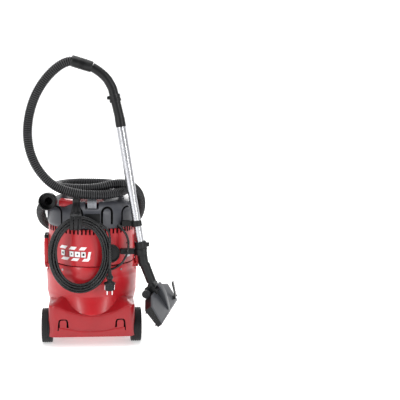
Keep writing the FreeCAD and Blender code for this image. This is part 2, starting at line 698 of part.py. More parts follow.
def build_hose(hand):
    """The stored hose with the swivel cuff at the hand tube and the sleeve that plugs into the drum."""
    hose = shaped("suction_hose", swept(HOSE_ROUTE, size("hose_radius"), "suction hose"))
    start, end = HAND_ROUTE[-1], HOSE_ROUTE[0]
    along = (end - start).normalize()
    half = (end - start).Length / 2
    middle = start + along * half
    cuff = cut(fuse(cone(tuple(start), 21, 22, half, along), cone(tuple(middle), 22, 21.5, half, along)),
               rod(tuple(start), 17.5, 2 * half, along), hand, hose)
    node("hose_cuff", cuff)
    tail = HOSE_ROUTE[-1]
    out = (SLEEVE_MOUTH - tail).normalize()
    length = (SLEEVE_MOUTH - tail).Length
    neck_end = tail + out * (length * 0.38)
    sleeve = cut(fuse(cone(tuple(tail), 21, 24, length * 0.38, out),
                      rod(tuple(neck_end), 33.4, length * 0.62, out)),
                 rod(tuple(tail), 14, length, out),
                 rod(tuple(neck_end + out * 6), 29, length, out), hose)
    node("hose_sleeve", sleeve)


# ------------------------------------------------------------------------------------- power cord
LEAD_ROUTE = vectors([(117, -180, 449), (129, -190, 436), (138, -199, 414), (140, -206, 387),
                      (133, -212, 358), (119, -215, 330), (98, -212, 309), (76, -212, 291)])
TAIL_ROUTE = vectors([(66, -235, 450), (68, -242, 428), (67, -243.5, 400), (67.5, -243.5, 371),
                      (67, -243.5, 341), (67, -243.5, 310)])
PLUG_AXIS = (67, -243.5)
PLUG_LOW = 207


def oval_slab(half_width, half_height):
    """A flat oval as deep as the coil."""
    rings = []
    for offset in ("-coil_depth / 2", "coil_depth / 2"):
        oval = bind(add("Part::Ellipse", "oval"), MajorRadius=half_height, MinorRadius=half_width)
        turn = Rotation(Vector(0, 0, 1), Vector(1, 0, 0), Vector(0, 1, 0), "XYZ")
        rings.append(place(oval, ("coil_shift", f"coil_back + {offset}", "coil_height"), turn))
    return loft(rings)


def build_cord():
    gland_start = Vector(104, -163, 460)
    gland_out = (LEAD_ROUTE[0] - gland_start).normalize()
    gland = cone(tuple(gland_start - gland_out * 6), 10, 5.5, (LEAD_ROUTE[0] - gland_start).Length + 6,
                 gland_out)
    lead = shaped("cord_lead", swept(LEAD_ROUTE, size("cord_radius"), "cord lead"))
    node("cord_gland", cut(gland, cover_skin("0", "head_high"),
                           head_skin("0", "head_low", "head_high"), lead))
    node("cord_coil", cut(oval_slab("coil_side", "coil_rise"),
                          oval_slab("coil_side - coil_width", "coil_rise - coil_width")))
    tail = shaped("cord_tail", swept(TAIL_ROUTE, size("cord_radius"), "cord tail"))
    x, y = PLUG_AXIS
    profile = [(0, 19), (18, 19), (18.5, 41), (22, 43), (22, 49), (12, 52), (9, 59), (13, 65),
               (13, 72), (7, 78), (5.5, 90), (5.5, 103), (0, 103)]
    node("plug_body", cut(turned("plug_turning", profile, (x, y, PLUG_LOW)), tail))
    node("plug_pins", group(*[rod((x + offset, y, PLUG_LOW), 2.4, 19) for offset in (-9.5, 9.5)]))


ELASTIC_ROUTE = vectors([(-84, -60, 578), (-116, -42, 572), (-150, -20, 554), (-177, -4, 528),
                         (-183, 4, 500), (-182, 8, 458)])


def build_elastic():
    shaped("elastic_cord", swept(ELASTIC_ROUTE, 1.3, "elastic cord"))


# ------------------------------------------------------------------------------------------ build
def check_and_write():
    """Stop on any failed object or bad shape, then write one file per sub-part."""
    failed = [item.Name for item in DOC.Objects if "Invalid" in item.State or "Error" in item.State]
    if failed:
        raise RuntimeError(f"failed objects: {failed}")
    os.makedirs("parts", exist_ok=True)
    for item in NODES:
        if item.Shape.isNull() or not item.Shape.isValid():
            raise RuntimeError(f"bad shape: {item.Label}")
        item.Shape.exportStep(f"parts/{item.Label}.step")


def main():
    build_drum()
    build_chassis()
    build_castor_plates()
    for side, name in ((-1, "left"), (1, "right")):
        build_rear_wheel(side, name)
        build_castor(side, name)
        build_latch(side, name)
    build_head()
    build_front_panel()
    build_cover()
    build_handle()
    build_strap()
    build_cover_latch()
    build_clips()
    build_wand()
    hand = build_hand_tube()
    build_elbow()
    build_nozzle()
    build_hose(hand)
    build_cord()
    build_elastic()
    DOC.recompute()
    check_and_write()


main()
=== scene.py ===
import math

import bmesh
import bpy
import numpy as np
from mathutils import Matrix, Vector


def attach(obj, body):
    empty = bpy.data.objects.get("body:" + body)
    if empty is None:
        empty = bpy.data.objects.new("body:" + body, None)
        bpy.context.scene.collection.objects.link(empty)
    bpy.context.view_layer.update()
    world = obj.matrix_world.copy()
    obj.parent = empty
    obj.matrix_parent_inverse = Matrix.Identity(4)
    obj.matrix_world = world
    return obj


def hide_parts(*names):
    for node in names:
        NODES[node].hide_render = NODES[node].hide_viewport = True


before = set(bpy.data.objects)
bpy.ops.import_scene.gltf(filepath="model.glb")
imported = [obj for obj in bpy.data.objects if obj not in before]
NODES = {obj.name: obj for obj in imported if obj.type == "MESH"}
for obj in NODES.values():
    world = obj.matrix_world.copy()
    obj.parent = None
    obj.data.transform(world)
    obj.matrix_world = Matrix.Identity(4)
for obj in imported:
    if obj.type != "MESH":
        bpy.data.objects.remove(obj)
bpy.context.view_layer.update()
MM = 0.001
X, Y, Z = Vector((1, 0, 0)), Vector((0, 1, 0)), Vector((0, 0, 1))

# Sizes that several pieces share, in millimetres.
DRUM_TOP = 306
RIM_SIDE, RIM_BACK = 172, 206
INLET_HEIGHT, INLET_RADIUS = 215, 42
SKIRT_SIDE, SKIRT_BACK, SKIRT_FRONT, SKIRT_LOW, SKIRT_TOP = 165, 228, 200, 39, 162
SMILE_LOW, SMILE_RADIUS = 124, 251
TONGUE_SPREAD, TONGUE_LOW = 109, 66
WHEEL_BACK, WHEEL_HEIGHT, WELL_RADIUS, WELL_SIDE = -145, 67, 72, 147.5
CASTOR_SPREAD, CASTOR_AXLE_Y, CASTOR_RADIUS = 92, 126, 22
LATCH_PIVOT_X, LATCH_PIVOT_Z, LATCH_HALF, LATCH_TOP = 181, 284, 34, 405
HEAD_SIDE, HEAD_BACK, HEAD_LOW, HEAD_HIGH = 172, 194, 308.5, 452
BULGE_X, BULGE_Y, BULGE_RADIUS = -8, -86, 120
COVER_SIDE, COVER_BACK, BAND_HIGH = 177, 201, 520
VALLEY_SIDE, VALLEY_FLOOR = 46, 540
CABLE_RADIUS = 4.5


# --------------------------------------------------------------------------------------- materials
def noise(nodes, links, scale, detail=3.0, stretch=(1, 1, 1)):
    """A noise texture in the piece's own coordinates."""
    place = nodes.new("ShaderNodeTexCoord")
    mapping = nodes.new("ShaderNodeMapping")
    mapping.inputs["Scale"].default_value = stretch
    texture = nodes.new("ShaderNodeTexNoise")
    texture.inputs["Scale"].default_value = scale
    texture.inputs["Detail"].default_value = detail
    links.new(place.outputs["Object"], mapping.inputs["Vector"])
    links.new(mapping.outputs["Vector"], texture.inputs["Vector"])
    return texture.outputs["Fac"]


def remap(nodes, links, value, low, high):
    """The noise's usual range stretched to low..high."""
    node = nodes.new("ShaderNodeMapRange")
    node.inputs["From Min"].default_value = 0.3
    node.inputs["From Max"].default_value = 0.7
    node.inputs["To Min"].default_value = low
    node.inputs["To Max"].default_value = high
    links.new(value, node.inputs["Value"])
    return node.outputs["Result"]


def material(name, colour, rough, vary=0.06, patch=18, grain=900, bump=0.08, metal=0.0, coat=0.0,
             sheen=0.0, specular=0.5, stretch=(1, 1, 1), aniso=0.0, spread=0.12, depth=0.0002):
    """A moulded or rolled surface: blotches of tone, uneven gloss and a fine grain."""
    mat = bpy.data.materials.new(name)
    mat.use_nodes = True
    nodes, links = mat.node_tree.nodes, mat.node_tree.links
    shader = nodes["Principled BSDF"]
    shader.inputs["Metallic"].default_value = metal
    shader.inputs["Coat Weight"].default_value = coat
    shader.inputs["Coat Roughness"].default_value = 0.08
    shader.inputs["Sheen Weight"].default_value = sheen
    shader.inputs["Specular IOR Level"].default_value = specular
    shader.inputs["Anisotropic"].default_value = aniso
    mix = nodes.new("ShaderNodeMix")
    mix.data_type = "RGBA"
    mix.inputs["A"].default_value = [c * (1 - vary) for c in colour] + [1]
    mix.inputs["B"].default_value = [min(1, c * (1 + vary)) for c in colour] + [1]
    tone = noise(nodes, links, patch, 4.0, stretch)
    links.new(remap(nodes, links, tone, 0, 1), mix.inputs["Factor"])
    links.new(mix.outputs["Result"], shader.inputs["Base Color"])
    gloss = noise(nodes, links, patch * 4, 3.0, stretch)
    links.new(remap(nodes, links, gloss, rough * (1 - spread), rough * (1 + spread)),
              shader.inputs["Roughness"])
    relief = nodes.new("ShaderNodeBump")
    relief.inputs["Strength"].default_value = bump
    relief.inputs["Distance"].default_value = depth
    links.new(noise(nodes, links, grain, 2.0, stretch), relief.inputs["Height"])
    links.new(relief.outputs["Normal"], shader.inputs["Normal"])
    return mat


MATERIALS = {
    "red": material("red_gloss", (0.47, 0.009, 0.016), 0.34, grain=500, bump=0.02, coat=0.12),
    # A darker copy of the body red for the skirt and its lip: painted shade, as the skirt reads darker than
    # the drum above it.
    "red_deep": material("red_deep", (0.34, 0.0065, 0.012), 0.34, grain=900, bump=0.03, coat=0.12),
    # A far darker copy of the body red for the plate in the cover's valley: painted shade from the hose
    # lying over it.
    "dark_red": material("red_plate", (0.14, 0.003, 0.006), 0.6, vary=0.1, grain=700, specular=0.15),
    "anthracite": material("anthracite_satin", (0.05, 0.052, 0.062), 0.34, grain=1500, bump=0.08,
                           specular=0.4),
    "black": material("black_moulded", (0.007, 0.0072, 0.0078), 0.34, vary=0.2, grain=1300, bump=0.08,
                      specular=0.3),
    "black_dull": material("black_dull", (0.004, 0.004, 0.0045), 0.7, vary=0.25, grain=900, bump=0.2,
                           specular=0.2),
    "grey": material("light_grey_moulded", (0.30, 0.31, 0.335), 0.4, grain=1200, bump=0.1),
    "nozzle": material("nozzle_grey", (0.045, 0.047, 0.054), 0.32, grain=1100, bump=0.1),
    "rubber": material("strap_rubber", (0.008, 0.0082, 0.009), 0.38, vary=0.25, grain=700, bump=0.12,
                       specular=0.35),
    "tyre": material("tyre_rubber", (0.011, 0.0115, 0.0125), 0.5, vary=0.25, grain=600, bump=0.2,
                     specular=0.3),
    "cable": material("cable_sheath", (0.006, 0.0062, 0.0068), 0.26, vary=0.2, grain=400, bump=0.04,
                      specular=0.42),
    # The hose is one black plastic: its crests take a lighter grey as painted highlight and its valleys a
    # deeper black as painted shade.
    "rib": material("hose_rib_painted_highlight", (0.026, 0.0265, 0.029), 0.36, vary=0.2, grain=900, bump=0.08,
                    specular=0.4),
    "valley": material("hose_valley_painted_shade", (0.003, 0.003, 0.0033), 0.6, vary=0.2, grain=900, bump=0.12,
                       specular=0.15),
    "steel": material("screw_steel", (0.36, 0.36, 0.37), 0.35, metal=1.0, grain=2000, bump=0.05),
    "chrome": material("pin_chrome", (0.82, 0.82, 0.83), 0.12, vary=0.04, metal=1.0, grain=2500, bump=0.02),
    "tube": material("wand_aluminium", (0.56, 0.565, 0.59), 0.26, vary=0.05, metal=1.0, grain=420,
                     bump=0.05, stretch=(6, 6, 0.25), aniso=0.3),
    "plate": material("rating_plate", (0.46, 0.47, 0.49), 0.35, metal=0.7, grain=1500, bump=0.06),
    "white": material("sticker_white", (0.86, 0.86, 0.86), 0.35, vary=0.03, grain=1500, bump=0.03),
    "ink": material("sticker_ink", (0.02, 0.02, 0.022), 0.4, vary=0.15, grain=1500, bump=0.03),
    "paper": material("filter_paper", (0.6, 0.58, 0.5), 0.85, vary=0.1, grain=700, bump=0.3),
    "bristle": material("brush_bristle", (0.02, 0.02, 0.022), 0.8, vary=0.3, grain=500, bump=0.6,
                        stretch=(1, 1, 0.1)),
}


# -------------------------------------------------------------------------------------- mesh tools
def raw(name, points, faces, indices=None):
    """A mesh object from points in millimetres, with duplicate points merged and normals outward."""
    mesh = bpy.data.meshes.new(name)
    mesh.from_pydata([Vector(p) * MM for p in points], [], faces)
    if indices is not None:
        mesh.polygons.foreach_set("material_index", indices)
    shape = bmesh.new()
    shape.from_mesh(mesh)
    bmesh.ops.remove_doubles(shape, verts=shape.verts, dist=0.00001)
    bmesh.ops.recalc_face_normals(shape, faces=shape.faces)
    shape.to_mesh(mesh)
    shape.free()
    obj = bpy.data.objects.new(name, mesh)
    bpy.context.scene.collection.objects.link(obj)
    return obj


def finish(obj, mats, body, replaces=(), sharp=35):
    """Give a piece its materials, smooth shading and body, and hide the CAD nodes it stands for."""
    mats = [mats] if isinstance(mats, str) else mats
    if not obj.data.materials:
        for mat in mats:
            obj.data.materials.append(MATERIALS[mat])
    if obj.type == "MESH":
        obj.data.polygons.foreach_set("use_smooth", [True] * len(obj.data.polygons))
        obj.data.set_sharp_from_angle(angle=math.radians(sharp))
    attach(obj, body)
    if replaces:
        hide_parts(*replaces)
    return obj


def bake(obj):
    """Apply the piece's modifiers to its mesh."""
    bpy.context.view_layer.update()
    graph = bpy.context.evaluated_depsgraph_get()
    mesh = bpy.data.meshes.new_from_object(obj.evaluated_get(graph))
    obj.modifiers.clear()
    obj.data = mesh
    return obj


def join(name, objects):
    """Several mesh objects as one."""
    shape = bmesh.new()
    for obj in objects:
        obj.data.transform(obj.matrix_world)
        shape.from_mesh(obj.data)
        bpy.data.objects.remove(obj)
    mesh = bpy.data.meshes.new(name)
    shape.to_mesh(mesh)
    shape.free()
    whole = bpy.data.objects.new(name, mesh)
    bpy.context.scene.collection.objects.link(whole)
    return whole


def boolean(obj, tool, operation="DIFFERENCE", inside=None):
    """Cut a tool from a piece, or add it; the cut faces may take another material, used here to paint black
    shade on the walls of slots, grooves and the seam.
    """
    if inside:
        tool.data.materials.clear()
        tool.data.materials.append(MATERIALS[inside])
    step = obj.modifiers.new("step", "BOOLEAN")
    step.operation = operation
    step.solver = "EXACT"
    step.object = tool
    step.material_mode = "TRANSFER" if inside else "INDEX"
    bake(obj)
    bpy.data.objects.remove(tool)
    return obj


def soften(obj, voxel, rounds, factor=0.5):
    """Round every edge by remeshing finely and smoothing."""
    step = obj.modifiers.new("remesh", "REMESH")
    step.mode = "VOXEL"
    step.voxel_size = voxel * MM
    step.use_smooth_shade = True
    smooth = obj.modifiers.new("smooth", "SMOOTH")
    smooth.factor = factor
    smooth.iterations = rounds
    return obj


def bevel(obj, width, segments=3, angle=30):
    """Round every edge sharper than angle degrees."""
    step = obj.modifiers.new("bevel", "BEVEL")
    step.width = width * MM
    step.segments = segments
    step.limit_method = "ANGLE"
    step.angle_limit = math.radians(angle)
    step.harden_normals = False
    return obj


def from_rings(name, rings, caps=(True, True), closed=True, mats=None):
    """A skin over rings of equal length; mats gives the material index of each band."""
    count = len(rings[0])
    points = [p for ring in rings for p in ring]
    faces, indices = [], []
    for level in range(len(rings) - 1):
        for i in range(count if closed else count - 1):
            j = (i + 1) % count
            a, b = level * count, (level + 1) * count
            faces.append((a + i, a + j, b + j, b + i))
            indices.append(mats[level] if mats else 0)
    if caps[0]:
        faces.append(tuple(range(count))[::-1])
        indices.append(mats[0] if mats else 0)
    if caps[1]:
        faces.append(tuple(range((len(rings) - 1) * count, len(rings) * count)))
        indices.append(mats[-1] if mats else 0)
    return raw(name, points, faces, indices)


def axes(along, hint=Z):
    """Two directions square to along."""
    along = Vector(along).normalized()
    hint = Vector(hint)
    if abs(along.dot(hint)) > 0.95:
        hint = X if abs(along.x) < 0.9 else Y
    side = hint.cross(along).normalized()
    return side, along.cross(side)


def lathe(name, centre, along, profile, count=48, mats=None):
    """A turned form from (radius, distance) pairs along an axis."""
    side, up = axes(along)
    along = Vector(along).normalized()
    rings = []
    for radius, distance in profile:
        middle = Vector(centre) + along * distance
        rings.append([middle + (side * math.cos(a) + up * math.sin(a)) * max(radius, 0.001)
                      for a in np.linspace(0, 2 * math.pi, count, endpoint=False)])
    shut = profile[0] == profile[-1]
    return from_rings(name, rings, (not shut, not shut), True, mats)


def ovals(rows, count=200, middle=(0, 0)):
    """Horizontal ovals from (half width, half length, height)."""
    angles = np.linspace(0, 2 * math.pi, count, endpoint=False)
    return [[(middle[0] + a * math.cos(t), middle[1] + b * math.sin(t), z) for t in angles]
            for a, b, z in rows]


def block(name, low, high, round_by=0.0, segments=3):
    """A box between two corners, with rounded edges."""
    lo, hi = Vector(low), Vector(high)
    shape = bmesh.new()
    bmesh.ops.create_cube(shape, size=1)
    for v in shape.verts:
        v.co = Vector([(lo[i] + hi[i]) / 2 + v.co[i] * (hi[i] - lo[i]) for i in range(3)]) * MM
    if round_by:
        bmesh.ops.bevel(shape, geom=shape.edges[:], offset=round_by * MM, segments=segments,
                        profile=0.5, affect="EDGES")
    mesh = bpy.data.meshes.new(name)
    shape.to_mesh(mesh)
    shape.free()
    obj = bpy.data.objects.new(name, mesh)
    bpy.context.scene.collection.objects.link(obj)
    return obj


def prism(name, corners, plane, start, end):
    """A flat outline carried from start to end along the axis square to its plane."""
    def lift(a, b, c):
        return {"XZ": (a, c, b), "YZ": (c, a, b), "XY": (a, b, c)}[plane]
    rings = [[lift(a, b, c) for a, b in corners] for c in (start, end)]
    return from_rings(name, rings)


def frames(path):
    """Points of a path, each with two directions square to it, carried along without twist."""
    path = [Vector(p) for p in path]
    tangents = [(path[min(i + 1, len(path) - 1)] - path[max(i - 1, 0)]).normalized()
                for i in range(len(path))]
    side = axes(tangents[0])[0]
    out = []
    for point, tangent in zip(path, tangents):
        side = (side - tangent * side.dot(tangent)).normalized()
        out.append((point, side, tangent.cross(side)))
    return out


def tube(name, path, radii, count=24, caps=(True, True), mats=None):
    """A round skin along a path, with one radius for each point."""
    rings = []
    for (point, side, up), radius in zip(frames(path), radii):
        rings.append([point + (side * math.cos(a) + up * math.sin(a)) * radius
                      for a in np.linspace(0, 2 * math.pi, count, endpoint=False)])
    return from_rings(name, rings, caps, True, mats)


def nurbs(name, points, radius=0.0, resolution=12):
    """One open smooth curve through the sense of its control points, in millimetres."""
    curve = bpy.data.curves.new(name, "CURVE")
    curve.dimensions = "3D"
    spline = curve.splines.new("NURBS")
    spline.points.add(len(points) - 1)
    for target, point in zip(spline.points, points):
        target.co = (*(Vector(point) * MM), 1)
    spline.order_u = 3
    spline.use_endpoint_u = True
    curve.resolution_u = resolution
    curve.bevel_depth = radius * MM
    curve.bevel_resolution = 5
    curve.use_fill_caps = radius > 0
    obj = bpy.data.objects.new(name, curve)
    bpy.context.scene.collection.objects.link(obj)
    return obj


def line_of(points, resolution=12):
    """The points of the smooth curve that a route gives."""
    bare = nurbs("bare", points, 0.0, resolution)
    mesh = bpy.data.meshes.new_from_object(bare)
    line = [v.co / MM for v in mesh.vertices]
    bpy.data.objects.remove(bare)
    return line


def resample(line, step):
    """The line again, with points step apart."""
    line = np.array(line, float)
    along = np.concatenate([[0], np.cumsum(np.linalg.norm(np.diff(line, axis=0), axis=1))])
    at = np.linspace(0, along[-1], int(along[-1] / step) + 1)
    return np.stack([np.interp(at, along, line[:, k]) for k in range(3)], axis=1)


# ------------------------------------------------------------------------------------------ camera
AIM = Vector((0.0, -0.150, 0.560))
DISTANCE, ELEVATION, YAW, FOCAL = 3.5, math.radians(7.5), math.radians(6.83), 81.2
eye = AIM + Vector((0, -math.cos(ELEVATION), math.sin(ELEVATION))) * DISTANCE
forward = (AIM - eye).normalized()
level = X * math.cos(YAW) - forward * math.sin(YAW)
looking = forward * math.cos(YAW) + X * math.sin(YAW)
lifted = level.cross(looking)
camera_data = bpy.data.cameras.new("camera")
camera_data.lens = FOCAL
camera_data.sensor_width = 36
camera_data.clip_end = 50
camera = bpy.data.objects.new("camera", camera_data)
camera.matrix_world = Matrix((
    (level.x, lifted.x, -looking.x, eye.x), (level.y, lifted.y, -looking.y, eye.y),
    (level.z, lifted.z, -looking.z, eye.z), (0, 0, 0, 1)))
bpy.context.scene.collection.objects.link(camera)
bpy.context.scene.camera = camera

# ------------------------------------------------------------------------------------------- cords
HOSE_ROUTE = [
    (-62, -168, 1085), (-86, -168, 1092), (-148, -168, 1052), (-206, -168, 975), (-238, -168, 880),
    (-243, -168, 780), (-212, -166, 686), (-146, -164, 612), (-54, -168, 583), (44, -164, 580),
    (112, -112, 586), (144, -32, 590), (126, 64, 594), (39, 128, 597), (-62, 118, 598), (-130, 50, 598),
    (-140, -38, 599), (-78, -109, 598), (24, -116, 601), (100, -98, 622), (166, -42, 604),
    (202, 30, 544), (200, 102, 466), (160, 168, 412), (85, 226, 370), (-30, 246, 356), (-130, 204, 380),
    (-195, 115, 430), (-207, 15, 488), (-192, -70, 532), (-160, -130, 556)]
SLEEVE_MOUTH = Vector((-168, -214, 562))


def build_hose():
    """The corrugated suction hose: round ribs in a lighter grey as painted highlight, with narrow valleys in
    a deeper black as painted shade between them.
    """
    pitch, steps = 8.0, 6
    path = resample(line_of(HOSE_ROUTE, 24), pitch / steps)
    wave = (15.8, 17.5, 18.0, 18.0, 17.5, 15.8)
    radii = [wave[i % steps] for i in range(len(path))]
    # Crest bands get the painted-highlight material, valley bands the painted-shade one.
    mats = [0 if 0 < (i % steps) < 4 else 1 for i in range(len(path) - 1)]
    hose = tube("hose_corrugated", path, radii, 20, mats=mats)
    finish(hose, ["rib", "valley"], "head", ["suction_hose"], sharp=80)
    return hose, [tuple(p * MM for p in point) for point in path]


LEAD_ROUTE = [(117, -180, 449), (129, -190, 436), (138, -199, 414), (140, -206, 387),
              (133, -212, 358), (119, -215, 330), (98, -213, 309), (72, -215, 292)]
TAIL_ROUTE = [(46, -234, 472), (64, -236, 450), (68, -241, 426), (67, -243.5, 399), (67.5, -243.5, 370),
              (67, -243.5, 340), (67, -243.5, 310)]
COIL_CENTRE = (-45, -224.5, 361)
COIL_SIDE, COIL_RISE = 122, 151
LAYER = 8.2
# How far each turn lies inside the coil's edge, and in which layer.
COIL_TURNS = [(23.5, 1), (14, 1), (4.5, 1), (9, 0), (18.5, 0), (28, 0), (33, -1), (23.5, -1),
              (14, -1), (4.5, -1)]


def coil_points():
    """Nearly ten oval turns in three layers, each a little beside the last, as a hand leaves them."""
    per_turn, last, out = 16, 157, []
    for step in range(last):
        turn, part = step // per_turn, (step % per_turn) / per_turn
        inset, layer = COIL_TURNS[turn]
        next_inset, next_layer = COIL_TURNS[min(turn + 1, len(COIL_TURNS) - 1)]
        blend = part * part * (3 - 2 * part)
        near = inset + (next_inset - inset) * blend
        depth = LAYER * (layer + (next_layer - layer) * blend)
        angle = math.radians(-35 - 360 / per_turn * step)
        loose = 1.2 * math.sin(2 * angle + 1.7 * turn) + 0.9 * math.sin(3 * angle + 2.2 * turn)
        across, rise = COIL_SIDE - near + loose, COIL_RISE - near - loose * 0.6
        out.append((COIL_CENTRE[0] + across * math.cos(angle), COIL_CENTRE[1] + depth,
                    COIL_CENTRE[2] + rise * math.sin(angle)))
    return out


hose, hose_path = build_hose()
flex = nurbs("power_cord", LEAD_ROUTE[:-1] + coil_points() + TAIL_ROUTE, CABLE_RADIUS, 6)
flex.data.materials.append(MATERIALS["cable"])
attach(flex, "head")
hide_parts("cord_lead", "cord_coil", "cord_tail")


# --------------------------------------------------------------------------------- drum and chassis
def build_drum():
    """The drum's shell with the inlet's hole, and the ears and ribs that carry the latches."""
    rows = [(128, 178, 62), (131, 181, 90), (136, 186, 125), (141, 191, 148), (146, 194, 156),
            (158, 198, 164), (170, 202, 171), (176, 203.6, 178), (177.6, 204.4, 190),
            (178.6, 205.4, 220), (180, 206.6, 254), (180.2, 206.8, 259), (179, 206.8, 263),
            (174.5, 206.4, 270.5), (172.6, 206, 275), (RIM_SIDE, RIM_BACK, 282), (RIM_SIDE, RIM_BACK, 303.5),
            (RIM_SIDE - 0.8, RIM_BACK - 0.8, DRUM_TOP - 0.4), (RIM_SIDE - 2.5, RIM_BACK - 2.5, DRUM_TOP)]
    inner = [(RIM_SIDE - 4, RIM_BACK - 4, DRUM_TOP), (RIM_SIDE - 4, RIM_BACK - 4, 274), (174, 200, 258),
             (170, 196, 190), (135, 185, 120), (124, 174, 68)]
    drum = from_rings("drum_shell", ovals(rows + inner, 240))
    hole = lathe("hole", (0, 170, INLET_HEIGHT), Y, [(INLET_RADIUS, 0), (INLET_RADIUS, 80)], 64)
    boolean(drum, hole)
    lugs = []
    for side in (-1, 1):
        for end in (-39, 39):
            middle = side * 174
            lugs.append(block("lug", (middle - 11, end - 4, 276), (middle + 11, end + 4, 291.5), 2))
        lugs.append(block("lug_rib", (side * 169 - 8, -37, 262), (side * 169 + 8, 37, 272), 3))
    finish(drum, "red", "chassis", ["drum"])
    finish(join("latch_lugs", lugs), "red", "chassis")


def smile(x):
    """Height of the chassis' upper edge: a round dip that levels out towards the corners."""
    dip = SMILE_LOW + SMILE_RADIUS - math.sqrt(max(0.0, SMILE_RADIUS ** 2 - x ** 2))
    join_by = 4
    return -join_by * math.log(math.exp(-dip / join_by) + math.exp(-SKIRT_TOP / join_by))


def skirt_ring(side, back, front, corner):
    """A rectangle with round corners, seen from above, sampled evenly along every run and corner."""
    out = []
    for cx, cy, start in ((side - corner, front - corner, 0), (-side + corner, front - corner, 90),
                          (-side + corner, -back + corner, 180), (side - corner, -back + corner, 270)):
        for step in range(13):
            angle = math.radians(start + step * 7.5)
            out.append((cx + corner * math.cos(angle), cy + corner * math.sin(angle)))
    dense = []
    for (ax, ay), (bx, by) in zip(out, out[1:] + out[:1]):
        run = math.hypot(bx - ax, by - ay)
        parts = max(1, int(run / 5))
        dense += [(ax + (bx - ax) * k / parts, ay + (by - ay) * k / parts) for k in range(parts)]
    return dense


def build_chassis():
    """The skirt: upright walls whose upper edge dips to the rear and front, shoulders at its corners,
    round wells over the wheels, and a fairing that runs up to the drum."""
    base = skirt_ring(SKIRT_SIDE, SKIRT_BACK, SKIRT_FRONT, 26)
    rings = []

    def level(inset, height_of):
        ring = []
        for x, y in base:
            shrink = 1 - inset / math.hypot(x, y)
            ring.append((x * shrink, y * shrink, height_of(x)))
        return ring

    rings.append(level(3, lambda x: SKIRT_LOW))
    rings.append(level(0.8, lambda x: SKIRT_LOW + 1))
    rings.append(level(0, lambda x: 42))
    rings.append(level(0, lambda x: 47))
    rings.append(level(0, lambda x: 47 + (smile(x) - 47) * 0.5))
    rings.append(level(0, lambda x: smile(x) - 6))
    rings.append(level(0.6, lambda x: smile(x) - 3))
    rings.append(level(2.4, lambda x: smile(x) - 0.8))
    rings.append(level(5, lambda x: smile(x) + 0.4))
    for inset, rise in ((12, 2.5), (22, 5.5), (34, 9.5), (48, 14), (64, 18.5), (84, 23)):
        rings.append(level(inset, lambda x, rise=rise: smile(x) + rise))
    rings.append(level(92, lambda x: 100))
    rings.append(level(92, lambda x: 60))
    rings.append(level(5, lambda x: 56))
    chassis = from_rings("chassis_shell", rings + [rings[0]], caps=(False, False))
    tools = [tongue_slot(x) for x in (-TONGUE_SPREAD, TONGUE_SPREAD)]
    # The slot walls take black as painted shade.
    boolean(chassis, join("slots", tools), inside="black_dull")
    boolean(chassis, wheel_wells())
    # The skirt takes the darker red of painted shade.
    chassis.data.materials[0] = MATERIALS["red_deep"]
    finish(chassis, "red_deep", "chassis", ["chassis"])
    slope = [(164, 225, 116), (165, 226, 121), (167.4, 222, 134), (170.6, 216, 149), (174, 210, 164),
             (176.6, 206.4, 175), (178, 205.2, 184), (178, 204, 190), (150, 180, 190), (150, 180, 116),
             (164, 225, 116)]
    fairing = from_rings("chassis_fairing", ovals(slope, 240), caps=(False, False))
    boolean(fairing, wheel_wells())
    boolean(fairing, block("front", (-190, SKIRT_FRONT - 1, 90), (190, 240, 200)))
    finish(fairing, "red", "chassis")


def tongue_slot(x):
    """The slot round a hanging tongue: narrow over its square top and wide beside its legs."""
    outer = [(-21.5, TONGUE_LOW), (-19, 98), (-16, 107), (-9, 110), (9, 110), (16, 107), (19, 98),
             (21.5, TONGUE_LOW)]
    inner = [(12.5, TONGUE_LOW), (13, 96), (10.5, 104), (6, 106), (-6, 106), (-10.5, 104), (-13, 96),
             (-12.5, TONGUE_LOW)]
    count = len(outer)
    rings = [[(x + a, y, b) for a, b in outer + inner] for y in (-240, -212)]
    total = 2 * count
    faces = [(i, (i + 1) % total, total + (i + 1) % total, total + i) for i in range(total)]
    for base in (0, total):
        faces += [(base + i, base + i + 1, base + total - 2 - i, base + total - 1 - i)
                  for i in range(count - 1)]
    return raw("slot", rings[0] + rings[1], faces)


def build_lip():
    """The thicker lower edge of the skirt, which sags between the tongues."""
    rings = []
    half = 126
    spans = np.linspace(-half, half, 64)
    section = ((0, -0.5), (0.03, 1.2), (0.09, 2.8), (0.2, 3.6), (0.4, 3.2), (0.65, 2.2), (0.88, 1.0),
               (1, -0.5))
    for part, out in section:
        ring = []
        for x in spans:
            crest = 64 + 13 * min(1, (x / 92) ** 2) ** 1.2
            swell = out * min(1, (half - abs(x)) / 30)
            ring.append((x, -SKIRT_BACK - swell, crest + (SKIRT_LOW + 0.6 - crest) * part))
        rings.append(ring)
    lip = from_rings("chassis_lip", rings, caps=(False, False), closed=False)
    # The lip takes the darker red of painted shade.
    finish(lip, "red_deep", "chassis")


def wheel_wells():
    """The round spaces for the rear wheels."""
    return join("wells", [
        lathe("well", (side * WELL_SIDE, WHEEL_BACK, WHEEL_HEIGHT), X * side,
              [(WELL_RADIUS, 0), (WELL_RADIUS, 34)], 96) for side in (-1, 1)])


def arch_prism(x, outer, inner, low, arch, start, end):
    """An arch given thickness along Y: the gap between a wide and a narrow tongue."""
    corners = [(x - outer, low)]
    corners += [(x - outer * math.cos(a), arch + outer * math.sin(a)) for a in np.linspace(0, math.pi, 19)]
    corners += [(x + outer, low), (x + inner, low)]
    corners += [(x + inner * math.cos(a), arch + inner * math.sin(a)) for a in np.linspace(0, math.pi, 19)]
    corners += [(x - inner, low)]
    rings = [[(a, y, b) for a, b in corners] for y in (start, end)]
    count = len(corners)
    faces = [(i, (i + 1) % count, count + (i + 1) % count, count + i) for i in range(count)]
    half = count // 2
    for base in (0, count):
        for i in range(half - 1):
            faces.append((base + i, base + i + 1, base + count - 2 - i, base + count - 1 - i))
    return raw("arch", rings[0] + rings[1], faces)


build_drum()
build_chassis()
build_lip()


